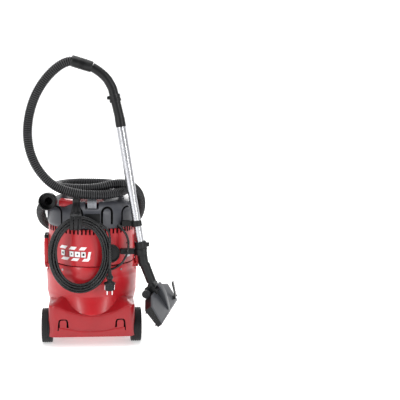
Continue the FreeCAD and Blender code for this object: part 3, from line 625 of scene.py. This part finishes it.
# ------------------------------------------------------------------------------------------- wheels
def build_wheel(side, name):
    """A tyre with four shallow grooves round its hub."""
    inner = side * 150.5
    along = X * side
    tread = [(44.2, 0), (60, 0), (64.5, 1.2), (66.6, 4)]
    for groove in (9, 17, 25, 33):
        tread += [(67, groove - 2.2), (65.6, groove - 1.2), (65.6, groove + 1.2), (67, groove + 2.2)]
    tread += [(66.6, 38), (64.5, 40.8), (60, 42), (52, 42), (50, 41), (48, 42), (45.5, 41.6), (44.2, 40)]
    centre = (inner, WHEEL_BACK, WHEEL_HEIGHT)
    tyre = lathe(f"tyre_{name}_tread", centre, along, tread + [tread[0]], 96)
    finish(tyre, "tyre", f"wheel_{name}", [f"tyre_{name}"])
    profile = [(0, 0), (20, 0), (22, 2), (42, 2), (44, 3.5), (44, 38.6), (42.5, 39.4), (38, 39),
               (36, 37.4), (18, 36.4), (16, 38.6), (10, 39.2), (0, 39.2)]
    hub = lathe(f"hub_{name}_disc", centre, along, profile, 72)
    finish(hub, "black", f"wheel_{name}", [f"hub_{name}"])


def build_castor(side, name):
    """The small front wheel, dished on both faces."""
    x = side * CASTOR_SPREAD
    rim = [(3.2, 0), (9, 0), (10, 1), (16, 1), (17, 0), (20.5, 0.6), (22, 3), (22, 15), (20.5, 17.4),
           (17, 18), (16, 17), (10, 17), (9, 18), (3.2, 18), (3.2, 0)]
    wheel = lathe(f"castor_wheel_{name}_ring", (x - 9, CASTOR_AXLE_Y, CASTOR_RADIUS), X, rim, 48)
    finish(wheel, "tyre", f"castor_roller_{name}", [f"castor_wheel_{name}"])


for side, name in ((-1, "left"), (1, "right")):
    build_wheel(side, name)
    build_castor(side, name)


# --------------------------------------------------------------------------------------------- head
def head_radius(angle, inset=0.0):
    """Distance of the head's skin from the upright axis: the oval body blended with the round bulge."""
    c, s = math.cos(angle), math.sin(angle)
    body = 1 / math.sqrt((c / (HEAD_SIDE - inset)) ** 2 + (s / (HEAD_BACK - inset)) ** 2)
    along = BULGE_X * c + BULGE_Y * s
    bulge = along + math.sqrt(along ** 2 - (BULGE_X ** 2 + BULGE_Y ** 2 - (BULGE_RADIUS - inset) ** 2))
    low, high = sorted((body, bulge))
    join_by = 4.0
    return high + join_by * math.log(1 + math.exp((low - high) / join_by))


def head_ring(z, inset=0.0, count=360):
    """The head's outline at one height."""
    return [(head_radius(t, inset) * math.cos(t), head_radius(t, inset) * math.sin(t), z)
            for t in np.linspace(0, 2 * math.pi, count, endpoint=False)]


REAR = sorted((head_radius(t) * math.cos(t), head_radius(t) * math.sin(t))
              for t in np.linspace(math.pi * 1.02, math.pi * 1.98, 400))


def rear_y(x):
    """The head's rear surface at a given x."""
    return float(np.interp(x, [p[0] for p in REAR], [p[1] for p in REAR]))


def build_head():
    """The motor head's shell with its row of vents, whose walls are black as painted shade, and a black
    sheet behind them that paints the shade inside the head.
    """
    rings = [head_ring(HEAD_LOW, 3), head_ring(HEAD_LOW + 0.3, 1.2), head_ring(HEAD_LOW + 2, 0)]
    rings += [head_ring(z) for z in (330, 355, 380, 405, 428, 446)]
    rings += [head_ring(HEAD_HIGH - 1.5, 0.6), head_ring(HEAD_HIGH, 2.5), head_ring(HEAD_HIGH, 4)]
    rings += [head_ring(400, 4), head_ring(HEAD_LOW, 4)]
    head = from_rings("head_shell", rings + [rings[0]], caps=(False, False))
    tools = []
    places = [-113 + 15 * i for i in range(16)] + [-160, -150, -140, -128, 128, 138, 148, 158]
    half, foot, top = 3.25, 435, HEAD_HIGH + 1.5
    for x in places:
        y = rear_y(x)
        corners = [(x - half, top), (x - half, foot)]
        corners += [(x - half * math.cos(a), foot - half * math.sin(a)) for a in np.linspace(0, math.pi, 9)]
        corners += [(x + half, top)]
        wide = 26 if abs(x) > 120 else 14
        tools.append(prism("slot", corners, "XZ", y - 12, y + wide))
    # The vent walls take black as painted shade.
    boolean(head, join("slots", tools), inside="black_dull")
    head.data.materials[0] = MATERIALS["red"]
    finish(head, "red", "head", ["head_housing"])
    # A black sheet behind the vents stands for the shade inside the head.
    liner = from_rings("head_vent_painted_shade", [head_ring(425, 12), head_ring(451, 12)], caps=(False, True))
    finish(liner, "black_dull", "head")


build_head()


def build_latch(side, name):
    """A clamp lever with a raised grip and a black lip at its top."""
    body = f"latch_lever_{name}"
    thick = 7.8
    x = side * (LATCH_PIVOT_X - 0.4)
    raised = x + side * 1.4
    plate = block("plate", (x - thick, -LATCH_HALF, 283), (x + thick, LATCH_HALF, 394), 4)
    barrel = lathe("barrel", (side * LATCH_PIVOT_X, -LATCH_HALF, LATCH_PIVOT_Z), Y,
                   [(5.5, 0), (5.5, 2 * LATCH_HALF)], 32)
    grip = block("grip", (raised - thick, -24, 320), (raised + thick, 24, 378), 4)
    finish(join(f"latch_{name}_lever", [plate, barrel, grip]), "red", body, [f"latch_{name}"])
    lip = block(f"latch_{name}_lip", (x - 8, -LATCH_HALF - 0.2, 390), (x + 8, LATCH_HALF + 0.2, LATCH_TOP),
                3.5)
    finish(lip, "black", body)


for side, name in ((-1, "left"), (1, "right")):
    build_latch(side, name)


# -------------------------------------------------------------------------------------------- cover
def build_cover():
    """The soft-edged cover with its valley, two handle recesses, grooves and seam, and the plate."""
    rows = [(COVER_SIDE - 5, COVER_BACK - 5, HEAD_HIGH), (174.5, 198.5, 456),
            (COVER_SIDE, COVER_BACK, 464), (COVER_SIDE, COVER_BACK, 506), (176.2, 200.2, 515),
            (173, 197, 523), (166, 189, 533), (156, 178, 543), (143, 163, 553), (128, 144, 561.5),
            (112, 124, 568), (96, 104, 571.5), (70, 76, 573)]
    cover = from_rings("cover_shell", ovals(rows, 200))
    valley = block("valley", (-VALLEY_SIDE, -152, VALLEY_FLOOR), (VALLEY_SIDE, 152, 600), 8)
    boolean(cover, valley)
    boolean(cover, block("recess", (-25, -210, 529), (25, -120, 600), 2))
    boolean(cover, block("recess", (-25, 120, 529), (25, 210, 600), 2))
    soften(cover, 2.6, 6)
    bake(cover)
    cover.data.materials.clear()
    cover.data.materials.append(MATERIALS["anthracite"])
    tools = [arch_prism(x, 23, 15, 470, 515, -230, -160) for x in (-57, 57)]
    tools += [arch_prism(x, 23, 17, 462, 510, -200, -104) for x in (-136, 136)]
    tools += [arch_prism(x, 23, 15, 470, 515, 160, 230) for x in (-57, 57)]
    # The groove walls take black as painted shade.
    boolean(cover, join("grooves", tools), inside="black_dull")
    low, high = BAND_HIGH - 0.8, BAND_HIGH + 0.6
    seam = from_rings("seam", ovals([(185, 209, low), (185, 209, high), (174.5, 198.5, high),
                                     (174.5, 198.5, low), (185, 209, low)], 200), caps=(False, False))
    # The seam's walls take black as painted shade.
    boolean(cover, seam, inside="black_dull")
    finish(cover, "anthracite", "head", ["top_cover"], sharp=40)
    # The plate takes the dark red of painted shade.
    plate = block("valley_plate", (-VALLEY_SIDE + 0.5, -129, VALLEY_FLOOR),
                  (VALLEY_SIDE - 0.5, 129, VALLEY_FLOOR + 6), 2)
    finish(plate, "dark_red", "head", ["top_plate"])


build_cover()


def strip(name, path, half_width, half_thick, sideways=X, grooves=()):
    """A flat bar with round edges along a path; grooves are (across, half width, depth)."""
    path = [Vector(p) for p in path]
    rings, section = [], []
    corner = min(half_thick * 0.9, 3.0)
    for cx, cy, start in ((half_width - corner, half_thick - corner, 0),
                          (-half_width + corner, half_thick - corner, 90),
                          (-half_width + corner, -half_thick + corner, 180),
                          (half_width - corner, -half_thick + corner, 270)):
        if start == 90:
            for across, wide, deep in sorted(grooves, reverse=True):
                section += [(across + wide, half_thick), (across + wide * 0.6, half_thick - deep),
                            (across - wide * 0.6, half_thick - deep), (across - wide, half_thick)]
        section += [(cx + corner * math.cos(math.radians(start + a)),
                     cy + corner * math.sin(math.radians(start + a))) for a in (0, 22.5, 45, 67.5, 90)]
    for i, point in enumerate(path):
        tangent = (path[min(i + 1, len(path) - 1)] - path[max(i - 1, 0)]).normalized()
        out = Vector(sideways).cross(tangent).normalized()
        rings.append([point + Vector(sideways) * a + out * b for a, b in section])
    return from_rings(name, rings)


def smooth_path(points, step=4.0):
    """Points a step apart along the smooth curve that a route gives."""
    return [Vector(p) for p in resample(line_of(points), step)]


def build_handle():
    """The arched carry handle with four grooves along its grip."""
    route = [(0, -170, 531), (0, -172, 545), (0, -150, 557), (0, -112, 570), (0, -66, 587), (0, -40, 588),
             (0, 40, 588), (0, 66, 587), (0, 112, 570), (0, 150, 557), (0, 172, 545), (0, 170, 531)]
    grooves = [(a, 1.6, 1.6) for a in (-10.5, -3.5, 3.5, 10.5)]
    handle = strip("handle_grip", smooth_path(route), 17.5, 7.0, X, grooves)
    finish(handle, "grey", "head", ["carry_handle"], sharp=50)


build_handle()


# ------------------------------------------------------------------------------- pieces on the rear
def rear_strip(name, outline, lift=0.35, thick=0.5, step=2.5):
    """A thin sticker that follows the head's rear; outline is a convex polygon of (x, z)."""
    shape = bmesh.new()
    verts = [shape.verts.new((x * MM, 0, z * MM)) for x, z in outline]
    shape.faces.new(verts)
    low, high = min(p[0] for p in outline), max(p[0] for p in outline)
    for cut_x in np.arange(low + step, high, step):
        bmesh.ops.bisect_plane(shape, geom=shape.verts[:] + shape.edges[:] + shape.faces[:],
                               plane_co=(cut_x * MM, 0, 0), plane_no=(1, 0, 0))
    for v in shape.verts:
        v.co.y = (rear_y(v.co.x / MM) - lift) * MM
    bmesh.ops.recalc_face_normals(shape, faces=shape.faces)
    mesh = bpy.data.meshes.new(name)
    shape.to_mesh(mesh)
    shape.free()
    obj = bpy.data.objects.new(name, mesh)
    bpy.context.scene.collection.objects.link(obj)
    solid = obj.modifiers.new("solid", "SOLIDIFY")
    solid.thickness = thick * MM
    solid.offset = 0
    bake(obj)
    return obj


def slant(x, z, wide, tall, lean):
    """The corners of a bar whose top leans to one side."""
    return [(x, z), (x + wide, z), (x + wide + lean, z + tall), (x + lean, z + tall)]


def build_sticker():
    """White chevrons round a row of blank boxes, each with a plain picture."""
    white = []
    for x in (-124, -88, -50):
        white.append(rear_strip("dash", slant(x, 373, 22, 12, 9)))
    for x in (-118, -80, -38):
        white.append(rear_strip("dash", slant(x, 330, 24, 11, 9)))
    white.append(rear_strip("dash", slant(-19, 335, 10, 32, 6)))
    boxes = ((-118, 14), (-86, 17), (-66, 22), (-41, 18))
    low, tall, line = 345, 22, 0.7
    for x, wide in boxes:
        white.append(rear_strip("box", slant(x, low, wide, tall, 0)))
    finish(join("sticker_white_parts", white), "white", "head")
    ink = []
    for x, wide in boxes + ((-102, 14),):
        for bar in (slant(x, low, wide, line, 0), slant(x, low + tall - line, wide, line, 0),
                    slant(x, low, line, tall, 0), slant(x + wide - line, low, line, tall, 0)):
            ink.append(rear_strip("bar", bar, 0.7, 0.4))
    for spot in (slant(-114, 352, 6, 8, 0), slant(-80, 353, 5, 6, 0), slant(-58, 353, 6, 6, 0),
                 slant(-36, 351, 8, 10, 0)):
        ink.append(rear_strip("spot", spot, 0.75, 0.4))
    finish(join("sticker_ink_parts", ink), "ink", "head")


build_sticker()


def build_rear_details():
    """A blank rating plate with a flat black patch above it that paints the shade of a slot, and a black
    panel on the cover's band that paints the dark reflection seen there.
    """
    outline = [(128, 330), (150, 330), (150, 352), (128, 352)]
    finish(rear_strip("rating_plate", outline, 0.4, 0.6), "plate", "head")
    # A flat black patch that paints the shade of a slot.
    slot = rear_strip("rating_slot_painted_shade", [(134, 384), (148, 384), (148, 389), (134, 389)], 0.2, 0.5)
    finish(slot, "black_dull", "head")
    # A thin black panel on the band that paints the dark reflection seen there.
    spans = np.linspace(-27, 31, 24)
    rings = []
    for z, out in ((458, -1), (458, 0.9), (460, 1.3), (511, 1.3), (513, 0.9), (513, -1)):
        rings.append([(x, -math.sqrt(1 - (x / COVER_SIDE) ** 2) * COVER_BACK - out, z) for x in spans])
    panel = from_rings("band_painted_reflection", rings, caps=(False, False), closed=False)
    finish(panel, "black", "head")


build_rear_details()


def build_port():
    """The round cap of the exhaust port, with a sunk ring inside its edge."""
    ring = [(35, 8), (35, -7), (34, -8.2), (31.5, -8.2), (30.5, -7), (30, -4.5), (27.5, -4),
            (26.5, -5.2), (12, -5.6), (0, -5.6)]
    port = lathe("exhaust_cap", (72, -204, 361), Y, ring, 72)
    finish(port, "black", "head", ["exhaust_port"])


build_port()

# --------------------------------------------------------------------------- strap, latch and plug
STRAP_MID = [(-60, -112, 571), (-60, -150, 557), (-60, -191, 528), (-60, -213, 516), (-60, -240, 514.5),
             (-60, -240, 457), (-60, -212, 455.5), (-60, -186, 457)]


def build_strap():
    """Three rubber ribs that part over the coil and meet again above and below it."""
    path = smooth_path(STRAP_MID, 3.0)
    parts = []
    total = len(path) - 1
    for offset, half in ((-1, 5.6), (0, 6.6), (1, 5.6)):
        line = []
        for i, point in enumerate(path):
            t = i / total
            open_by = math.sin(math.pi * min(1.0, max(0.0, (t - 0.28) / 0.72))) ** 0.7
            spread = 8.0 + 8.4 * open_by
            bow = 1.2 * open_by * (1 - abs(offset))
            line.append(point + Vector((offset * spread, -bow, 0)))
        parts.append(strip("rib", line, half, 2.1))
    top = strip("top", [p + Vector((0, 0, 0.2)) for p in path[:int(total * 0.36)]], 12.5, 2.4)
    finish(join("strap_ribs", parts + [top]), "rubber", "head", ["cord_strap"], sharp=50)


build_strap()


def build_cover_latch():
    """The wedge-shaped push latch on the cover's left shoulder."""
    wedge = from_rings("latch_wedge", [
        [(-127, -144, 536), (-71, -152, 531), (-71, -118, 531), (-120, -112, 536)],
        [(-127, -144, 559), (-71, -152, 552), (-71, -118, 560), (-120, -112, 564)]])
    bevel(wedge, 3.0)
    bake(wedge)
    finish(wedge, "red", "latch_button", ["cover_latch"])


build_cover_latch()


PLUG_AXIS = (67, -243.5)
PLUG_LOW = 207


def build_plug():
    """The moulded plug with its grip, ribbed strain relief, two pins and side contacts."""
    x, y = PLUG_AXIS
    profile = [(0, 19), (16.5, 19), (17.8, 20.5), (18.4, 41), (21.4, 42.4), (22, 44), (22, 48),
               (20, 49.6), (12.5, 52.5), (9.5, 56), (9, 59), (12.4, 63), (13.4, 66), (13.4, 72),
               (11.5, 75.5), (8.2, 77)]
    for z in (80, 85, 90, 95):
        rib = 8.6 - (z - 79) * 0.14
        profile += [(rib, z), (rib, z + 2.4), (6.2, z + 3), (6.2, z + 4.4)]
    profile += [(5.2, 103), (0, 103)]
    plug = lathe("plug_moulding", (x, y, PLUG_LOW), Z, profile, 48)
    finish(plug, "black", "head", ["plug_body"])
    pins = []
    for offset in (-9.5, 9.5):
        outline = [(0, 0), (1.4, 0.3), (2.3, 1.8), (2.4, 3), (2.4, 19), (0, 19)]
        pins.append(lathe("pin", (x + offset, y, PLUG_LOW), Z, outline, 24))
    finish(join("plug_pin_pair", pins), "chrome", "head", ["plug_pins"])
    earth = [block("earth", (x + side * 17.6 - 1.4, y - 4.5, 228), (x + side * 17.6 + 1.4, y + 4.5, 247), 1)
             for side in (-1, 1)]
    finish(join("plug_earth_strips", earth), "chrome", "head")
    return plug


plug = build_plug()

# ----------------------------------------------------------------------------- wand, tube and elbow
NOZZLE_PIVOT = Vector((236, -166, 228))
HAND_TOP, CUFF_END = Vector((0, -166, 1067)), Vector((-78, -168, 1090))
GRIP_LOW, GRIP_HIGH = Vector((103.3, -166, 883.4)), Vector((76, -166, 993))
HAND_LINE = [(110, -166, 844), (106.6, -166, 864), GRIP_LOW, (96.5, -166, 910.8), (81.5, -166, 971),
             GRIP_HIGH, (45, -166, 1042), HAND_TOP]


def build_hand_tube():
    """The bent hand tube with its air ring, and the ribbed cuff where the hose turns."""
    path = smooth_path(HAND_LINE, 6)
    total = len(path) - 1
    radii = []
    for i in range(total + 1):
        t = i / total
        radii.append(19.2 if t < 0.12 else 18.3 - 0.8 * t)
    hand = tube("hand_tube_skin", path, radii, 40)
    finish(hand, "black", "head", ["hand_tube"], sharp=40)
    start = GRIP_LOW + (GRIP_HIGH - GRIP_LOW) * 0.62
    along = (GRIP_HIGH - GRIP_LOW).normalized()
    outline = [(18.4, -14), (21.6, -14), (22.5, -12.8), (22.5, -4), (21.2, -3), (21.2, 3), (22.5, 4),
               (22.5, 12.8), (21.6, 14), (18.4, 14)]
    ring = lathe("collar", start, along, outline, 48)
    nub = block("nub", (start.x - 30, start.y - 8, start.z - 6), (start.x - 18, start.y + 8, start.z + 7), 3)
    finish(join("air_collar", [ring, nub]), "black", "air_valve", ["air_ring"])
    length = (CUFF_END - HAND_TOP).length
    cuff = [(15, -1), (19.5, -1), (20.6, 0.5), (21.3, 3), (21.8, length * 0.30)]
    for k in range(4):
        at = length * (0.34 + 0.07 * k)
        cuff += [(22.3, at), (22.3, at + 3), (21.2, at + 3.8), (21.2, at + 4.8)]
    cuff += [(22, length * 0.66), (21.8, length * 0.88), (21, length * 0.97), (19.6, length),
             (15, length), (15, -1)]
    finish(lathe("swivel_cuff", HAND_TOP, CUFF_END - HAND_TOP, cuff, 48), "black", "head", ["hose_cuff"])


build_hand_tube()


def build_sleeve():
    """The hose's hollow end sleeve, with rings outside and a stepped bore."""
    tail, mouth = Vector(HOSE_ROUTE[-1]), SLEEVE_MOUTH
    along = (mouth - tail).normalized()
    length = (mouth - tail).length
    neck = length * 0.38
    profile = [(17.2, -2), (20.5, -2), (21.2, 0), (23.5, neck - 3), (26, neck), (31.5, neck + 2.5),
               (33.2, neck + 6)]
    for k in range(3):
        at = neck + 12 + 9 * k
        profile += [(33.2, at), (32.3, at + 1), (32.3, at + 2.2), (33.2, at + 3.2)]
    profile += [(33.4, length - 3), (32.6, length - 0.6), (31, length), (29.6, length - 0.8)]
    for k in range(4):
        at = length - 5 - 8 * k
        profile += [(29, at), (28, at - 1.5), (28, at - 3), (29, at - 4.5)]
    profile += [(28, neck + 7), (14.5, neck + 5), (14.2, 2), (14.2, -2), (17.2, -2)]
    skin = lathe("connector_sleeve", tail, along, profile, 64)
    return finish(skin, "black", "head", ["hose_sleeve"])


sleeve = build_sleeve()

# ------------------------------------------------------------------------------------ elastic cord
for knot, (x, y, z) in (("near", (-84, -60, 577)), ("far", (-182, 8, 460))):
    outline = [(0, -3.4), (2, -3), (3.4, -1), (3.4, 1), (2, 3), (0, 3.4)]
    bead = lathe(f"elastic_knot_{knot}", (x, y, z), Z, outline, 24)
    finish(bead, "cable", "head")
ELASTIC = [(-84, -60, 578), (-116, -42, 572), (-150, -20, 554), (-177, -4, 528), (-183, 4, 500),
           (-182, 8, 458)]
elastic = nurbs("elastic_loop", ELASTIC, 1.3, 12)
elastic.data.materials.append(MATERIALS["cable"])
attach(elastic, "head")
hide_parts("elastic_cord")

# ------------------------------------------------------------------------------------------ nozzle
NOZZLE_LONG = Vector((0.3001, 0.9483, 0.103)).normalized()
NOZZLE_REAR = Vector((-0.6176, 0.1109, 0.7786)).normalized()
NOZZLE_UP = NOZZLE_LONG.cross(NOZZLE_REAR)
PIVOT_IN_NOZZLE = Vector((0, 72, 34))
SOLE_HALF, SLOPE = 140, 0.13


def in_nozzle(obj):
    """Carry a piece drawn with its long way on X and its sole on the XY plane to the nozzle's pose."""
    turn = Matrix((NOZZLE_LONG, NOZZLE_REAR, NOZZLE_UP)).transposed()
    move = (NOZZLE_PIVOT - turn @ PIVOT_IN_NOZZLE) * MM
    obj.data.transform(Matrix.Translation(move) @ turn.to_4x4())
    return obj


def hexagon(inset, z, slope=0.0):
    """The sole's outline, drawn in by inset; with a slope its height grows towards the hinge."""
    i = inset
    half = SOLE_HALF - i
    flat = [(-half, -55 + i), (half, -55 + i), (half, 25 - i * 0.6), (76 - i * 0.4, 50 - i),
            (-76 + i * 0.4, 50 - i), (-half, 25 - i * 0.6)]
    return [(x, y, z + slope * min(80, y + 55)) for x, y in flat]


def build_nozzle():
    """A black sole with ribbed ends under a grey hood, a fin over the duct, hinge arms and a pedal."""
    sole = from_rings("nozzle_sole", [hexagon(1, 0), hexagon(0, 1), hexagon(0, 19, SLOPE),
                                      hexagon(1, 20, SLOPE)])
    boolean(sole, block("slot", (-125, -22, -1), (125, -4, 9)))
    for x in (-60, 60):
        boolean(sole, lathe("well", (x - 7, 64, 13), X, [(17.2, 0), (17.2, 14)], 40))
    ribs = [block("rib", (side * SOLE_HALF - 1.2, y, 1.5),
                  (side * SOLE_HALF + 1.2, y + 3, 20 + (y + 55) * SLOPE), 0.8)
            for side in (-1, 1) for y in range(-50, 20, 7)]
    arms = [block("arm", (x - 3.25, 36, 6), (x + 3.25, 82, 44), 3) for x in (-28, 28)]
    ears = [block("ear", (x - 3, 40, 6), (x + 3, 71, 20), 2.5) for x in (-49, 49)]
    pedal_ears = [block("pedal_ear", (x, -40, 20), (x + 4, -31, 34), 1.5) for x in (100, 132)]
    rods = [lathe("pin", (-31.5, 72, 34), X, [(5, 0), (5, 63)], 24),
            lathe("axle", (-69.5, 64, 13), X, [(3, 0), (3, 139)], 20)]
    base = join("nozzle_frame", [sole] + ribs + arms + ears + pedal_ears + rods)
    finish(in_nozzle(base), "black", "nozzle", ["nozzle_body"])
    hood = from_rings("hood", [hexagon(3, 17, SLOPE), hexagon(0.6, 19.4, SLOPE), hexagon(1.4, 21, 0.135),
                               hexagon(5, 22.6, 0.137), hexagon(12, 22.8, 0.137)])
    outline = ((-53, 20.5, 9), (-36, 31, 12), (-14, 42, 14), (14, 54, 16), (44, 61, 17), (64, 61, 17),
               (66, 56, 17), (62, 53, 17), (42, 51, 17), (34, 20, 17))
    fin = from_rings("fin", [[(side * wide, y, z) for y, z, wide in outline] for side in (-1, 1)])
    bevel(fin, 2.2)
    bake(fin)
    finish(in_nozzle(join("nozzle_hood", [hood, fin])), "nozzle", "nozzle")
    side_view = [(-39, 28), (-40, 30), (-38, 32), (20, 63), (22.5, 61.5), (22, 59)]
    lever = prism("lever", side_view, "YZ", 106, 130)
    bevel(lever, 1.2)
    bake(lever)
    grip = [block("grip", (107, y, z), (129, y + 1.8, z + 2.4), 0.7)
            for y, z in ((-22, 40), (-14, 44.4), (-6, 48.7), (2, 53))]
    pin = lathe("pin", (104.5, -35.5, 30), X, [(2.5, 0), (2.5, 27)], 20)
    finish(in_nozzle(join("nozzle_pedal_lever", [lever, pin] + grip)), "black", "pedal", ["nozzle_pedal"])


build_nozzle()

# --------------------------------------------------------------- solids of the frame kept as they are
# Each takes a material; one with a size in millimetres also gets its edges rounded to that size.
KEPT = {
    "rim_seal": ("black_dull", 0), "inlet_fitting": ("black", 0), "rear_axles": ("steel", 0),
    "latch_pins": ("steel", 0), "drum_screws": ("steel", 0), "castor_plates": ("steel", 0),
    "castor_fork_left": ("steel", 1.2), "castor_fork_right": ("steel", 1.2), "base_plate": ("black", 0),
    "suction_motor": ("steel", 0), "float_cage": ("black", 0), "filter_cassette": ("paper", 0),
    "head_screws": ("steel", 0), "control_panel": ("black", 1.6), "appliance_socket": ("grey", 0),
    "flap_pin": ("black", 0), "clip_upper": ("black", 1.3), "holder_lower": ("black", 1.5),
    "wand_tube_upper": ("tube", 0), "wand_tube_lower": ("tube", 0), "locking_collar": ("black", 1.3),
    "cord_gland": ("black", 0), "fan_wheel": ("black", 0), "motor_shaft": ("steel", 0),
    "float_ball": ("white", 0), "rotary_switch": ("grey", 1.2), "socket_flap": ("black", 1.0),
    "elbow": ("black", 1.6), "nozzle_brushes": ("bristle", 0),
    "nozzle_rollers": ("tyre", 0)}
for name, (mat, voxel) in KEPT.items():
    node = NODES[name]
    node.data.materials.clear()
    node.data.materials.append(MATERIALS[mat])
    if voxel:
        soften(node, voxel, 5)

# --------------------------------------------------------------------------------- stage and light
floor_mat = material("floor_paper", (0.84, 0.84, 0.845), 0.6, vary=0.01, grain=300, bump=0.02)
floor_shader = floor_mat.node_tree.nodes["Principled BSDF"]
floor_shader.inputs["Emission Color"].default_value = (1, 1, 1, 1)
floor_shader.inputs["Emission Strength"].default_value = 0.5
SWEEP = 2200
FLOOR_LINE = [(-9000, 0), (SWEEP, 0)]
FLOOR_LINE += [(SWEEP + SWEEP * math.sin(a), SWEEP - SWEEP * math.cos(a))
               for a in np.linspace(0.1, math.pi / 2, 16)]
FLOOR_LINE += [(2 * SWEEP, 9000)]
floor = from_rings("floor", [[(x, y, z) for y, z in FLOOR_LINE] for x in (-14000, 14000)],
                   caps=(False, False), closed=False)
floor.data.materials.append(floor_mat)
floor.data.polygons.foreach_set("use_smooth", [True] * len(floor.data.polygons))

world = bpy.data.worlds.new("studio")
world.use_nodes = True
tree = world.node_tree
place = tree.nodes.new("ShaderNodeTexCoord")
split = tree.nodes.new("ShaderNodeSeparateXYZ")
fade = tree.nodes.new("ShaderNodeMapRange")
for socket, value in (("From Min", -0.9), ("From Max", 0.5), ("To Min", 0.16), ("To Max", 0.8)):
    fade.inputs[socket].default_value = value
tree.links.new(place.outputs["Generated"], split.inputs["Vector"])
tree.links.new(split.outputs["Y"], fade.inputs["Value"])
tree.nodes["Background"].inputs["Color"].default_value = (1, 1, 1, 1)
tree.links.new(fade.outputs["Result"], tree.nodes["Background"].inputs["Strength"])
bpy.context.scene.world = world


def lamp(name, place, target, size, power):
    """A soft rectangular lamp at a place, turned to a target."""
    light = bpy.data.lights.new(name, "AREA")
    light.shape = "RECTANGLE"
    light.size, light.size_y = size
    light.energy = power
    obj = bpy.data.objects.new(name, light)
    obj.location = place
    obj.rotation_euler = (Vector(target) - Vector(place)).to_track_quat("-Z", "Y").to_euler()
    bpy.context.scene.collection.objects.link(obj)


lamp("key_left", (-2.0, -2.4, 1.5), (0, 0, 0.4), (0.5, 2.4), 40)
lamp("key_right", (2.0, -2.3, 1.4), (0, 0, 0.4), (0.45, 2.4), 34)
lamp("overhead", (0, -0.3, 3.0), (0, 0, 0.4), (2.2, 2.0), 42)
lamp("front_fill", (0.4, 3.0, 1.7), (0, 0, 0.4), (1.6, 1.6), 34)
bpy.context.scene.view_settings.view_transform = "Standard"
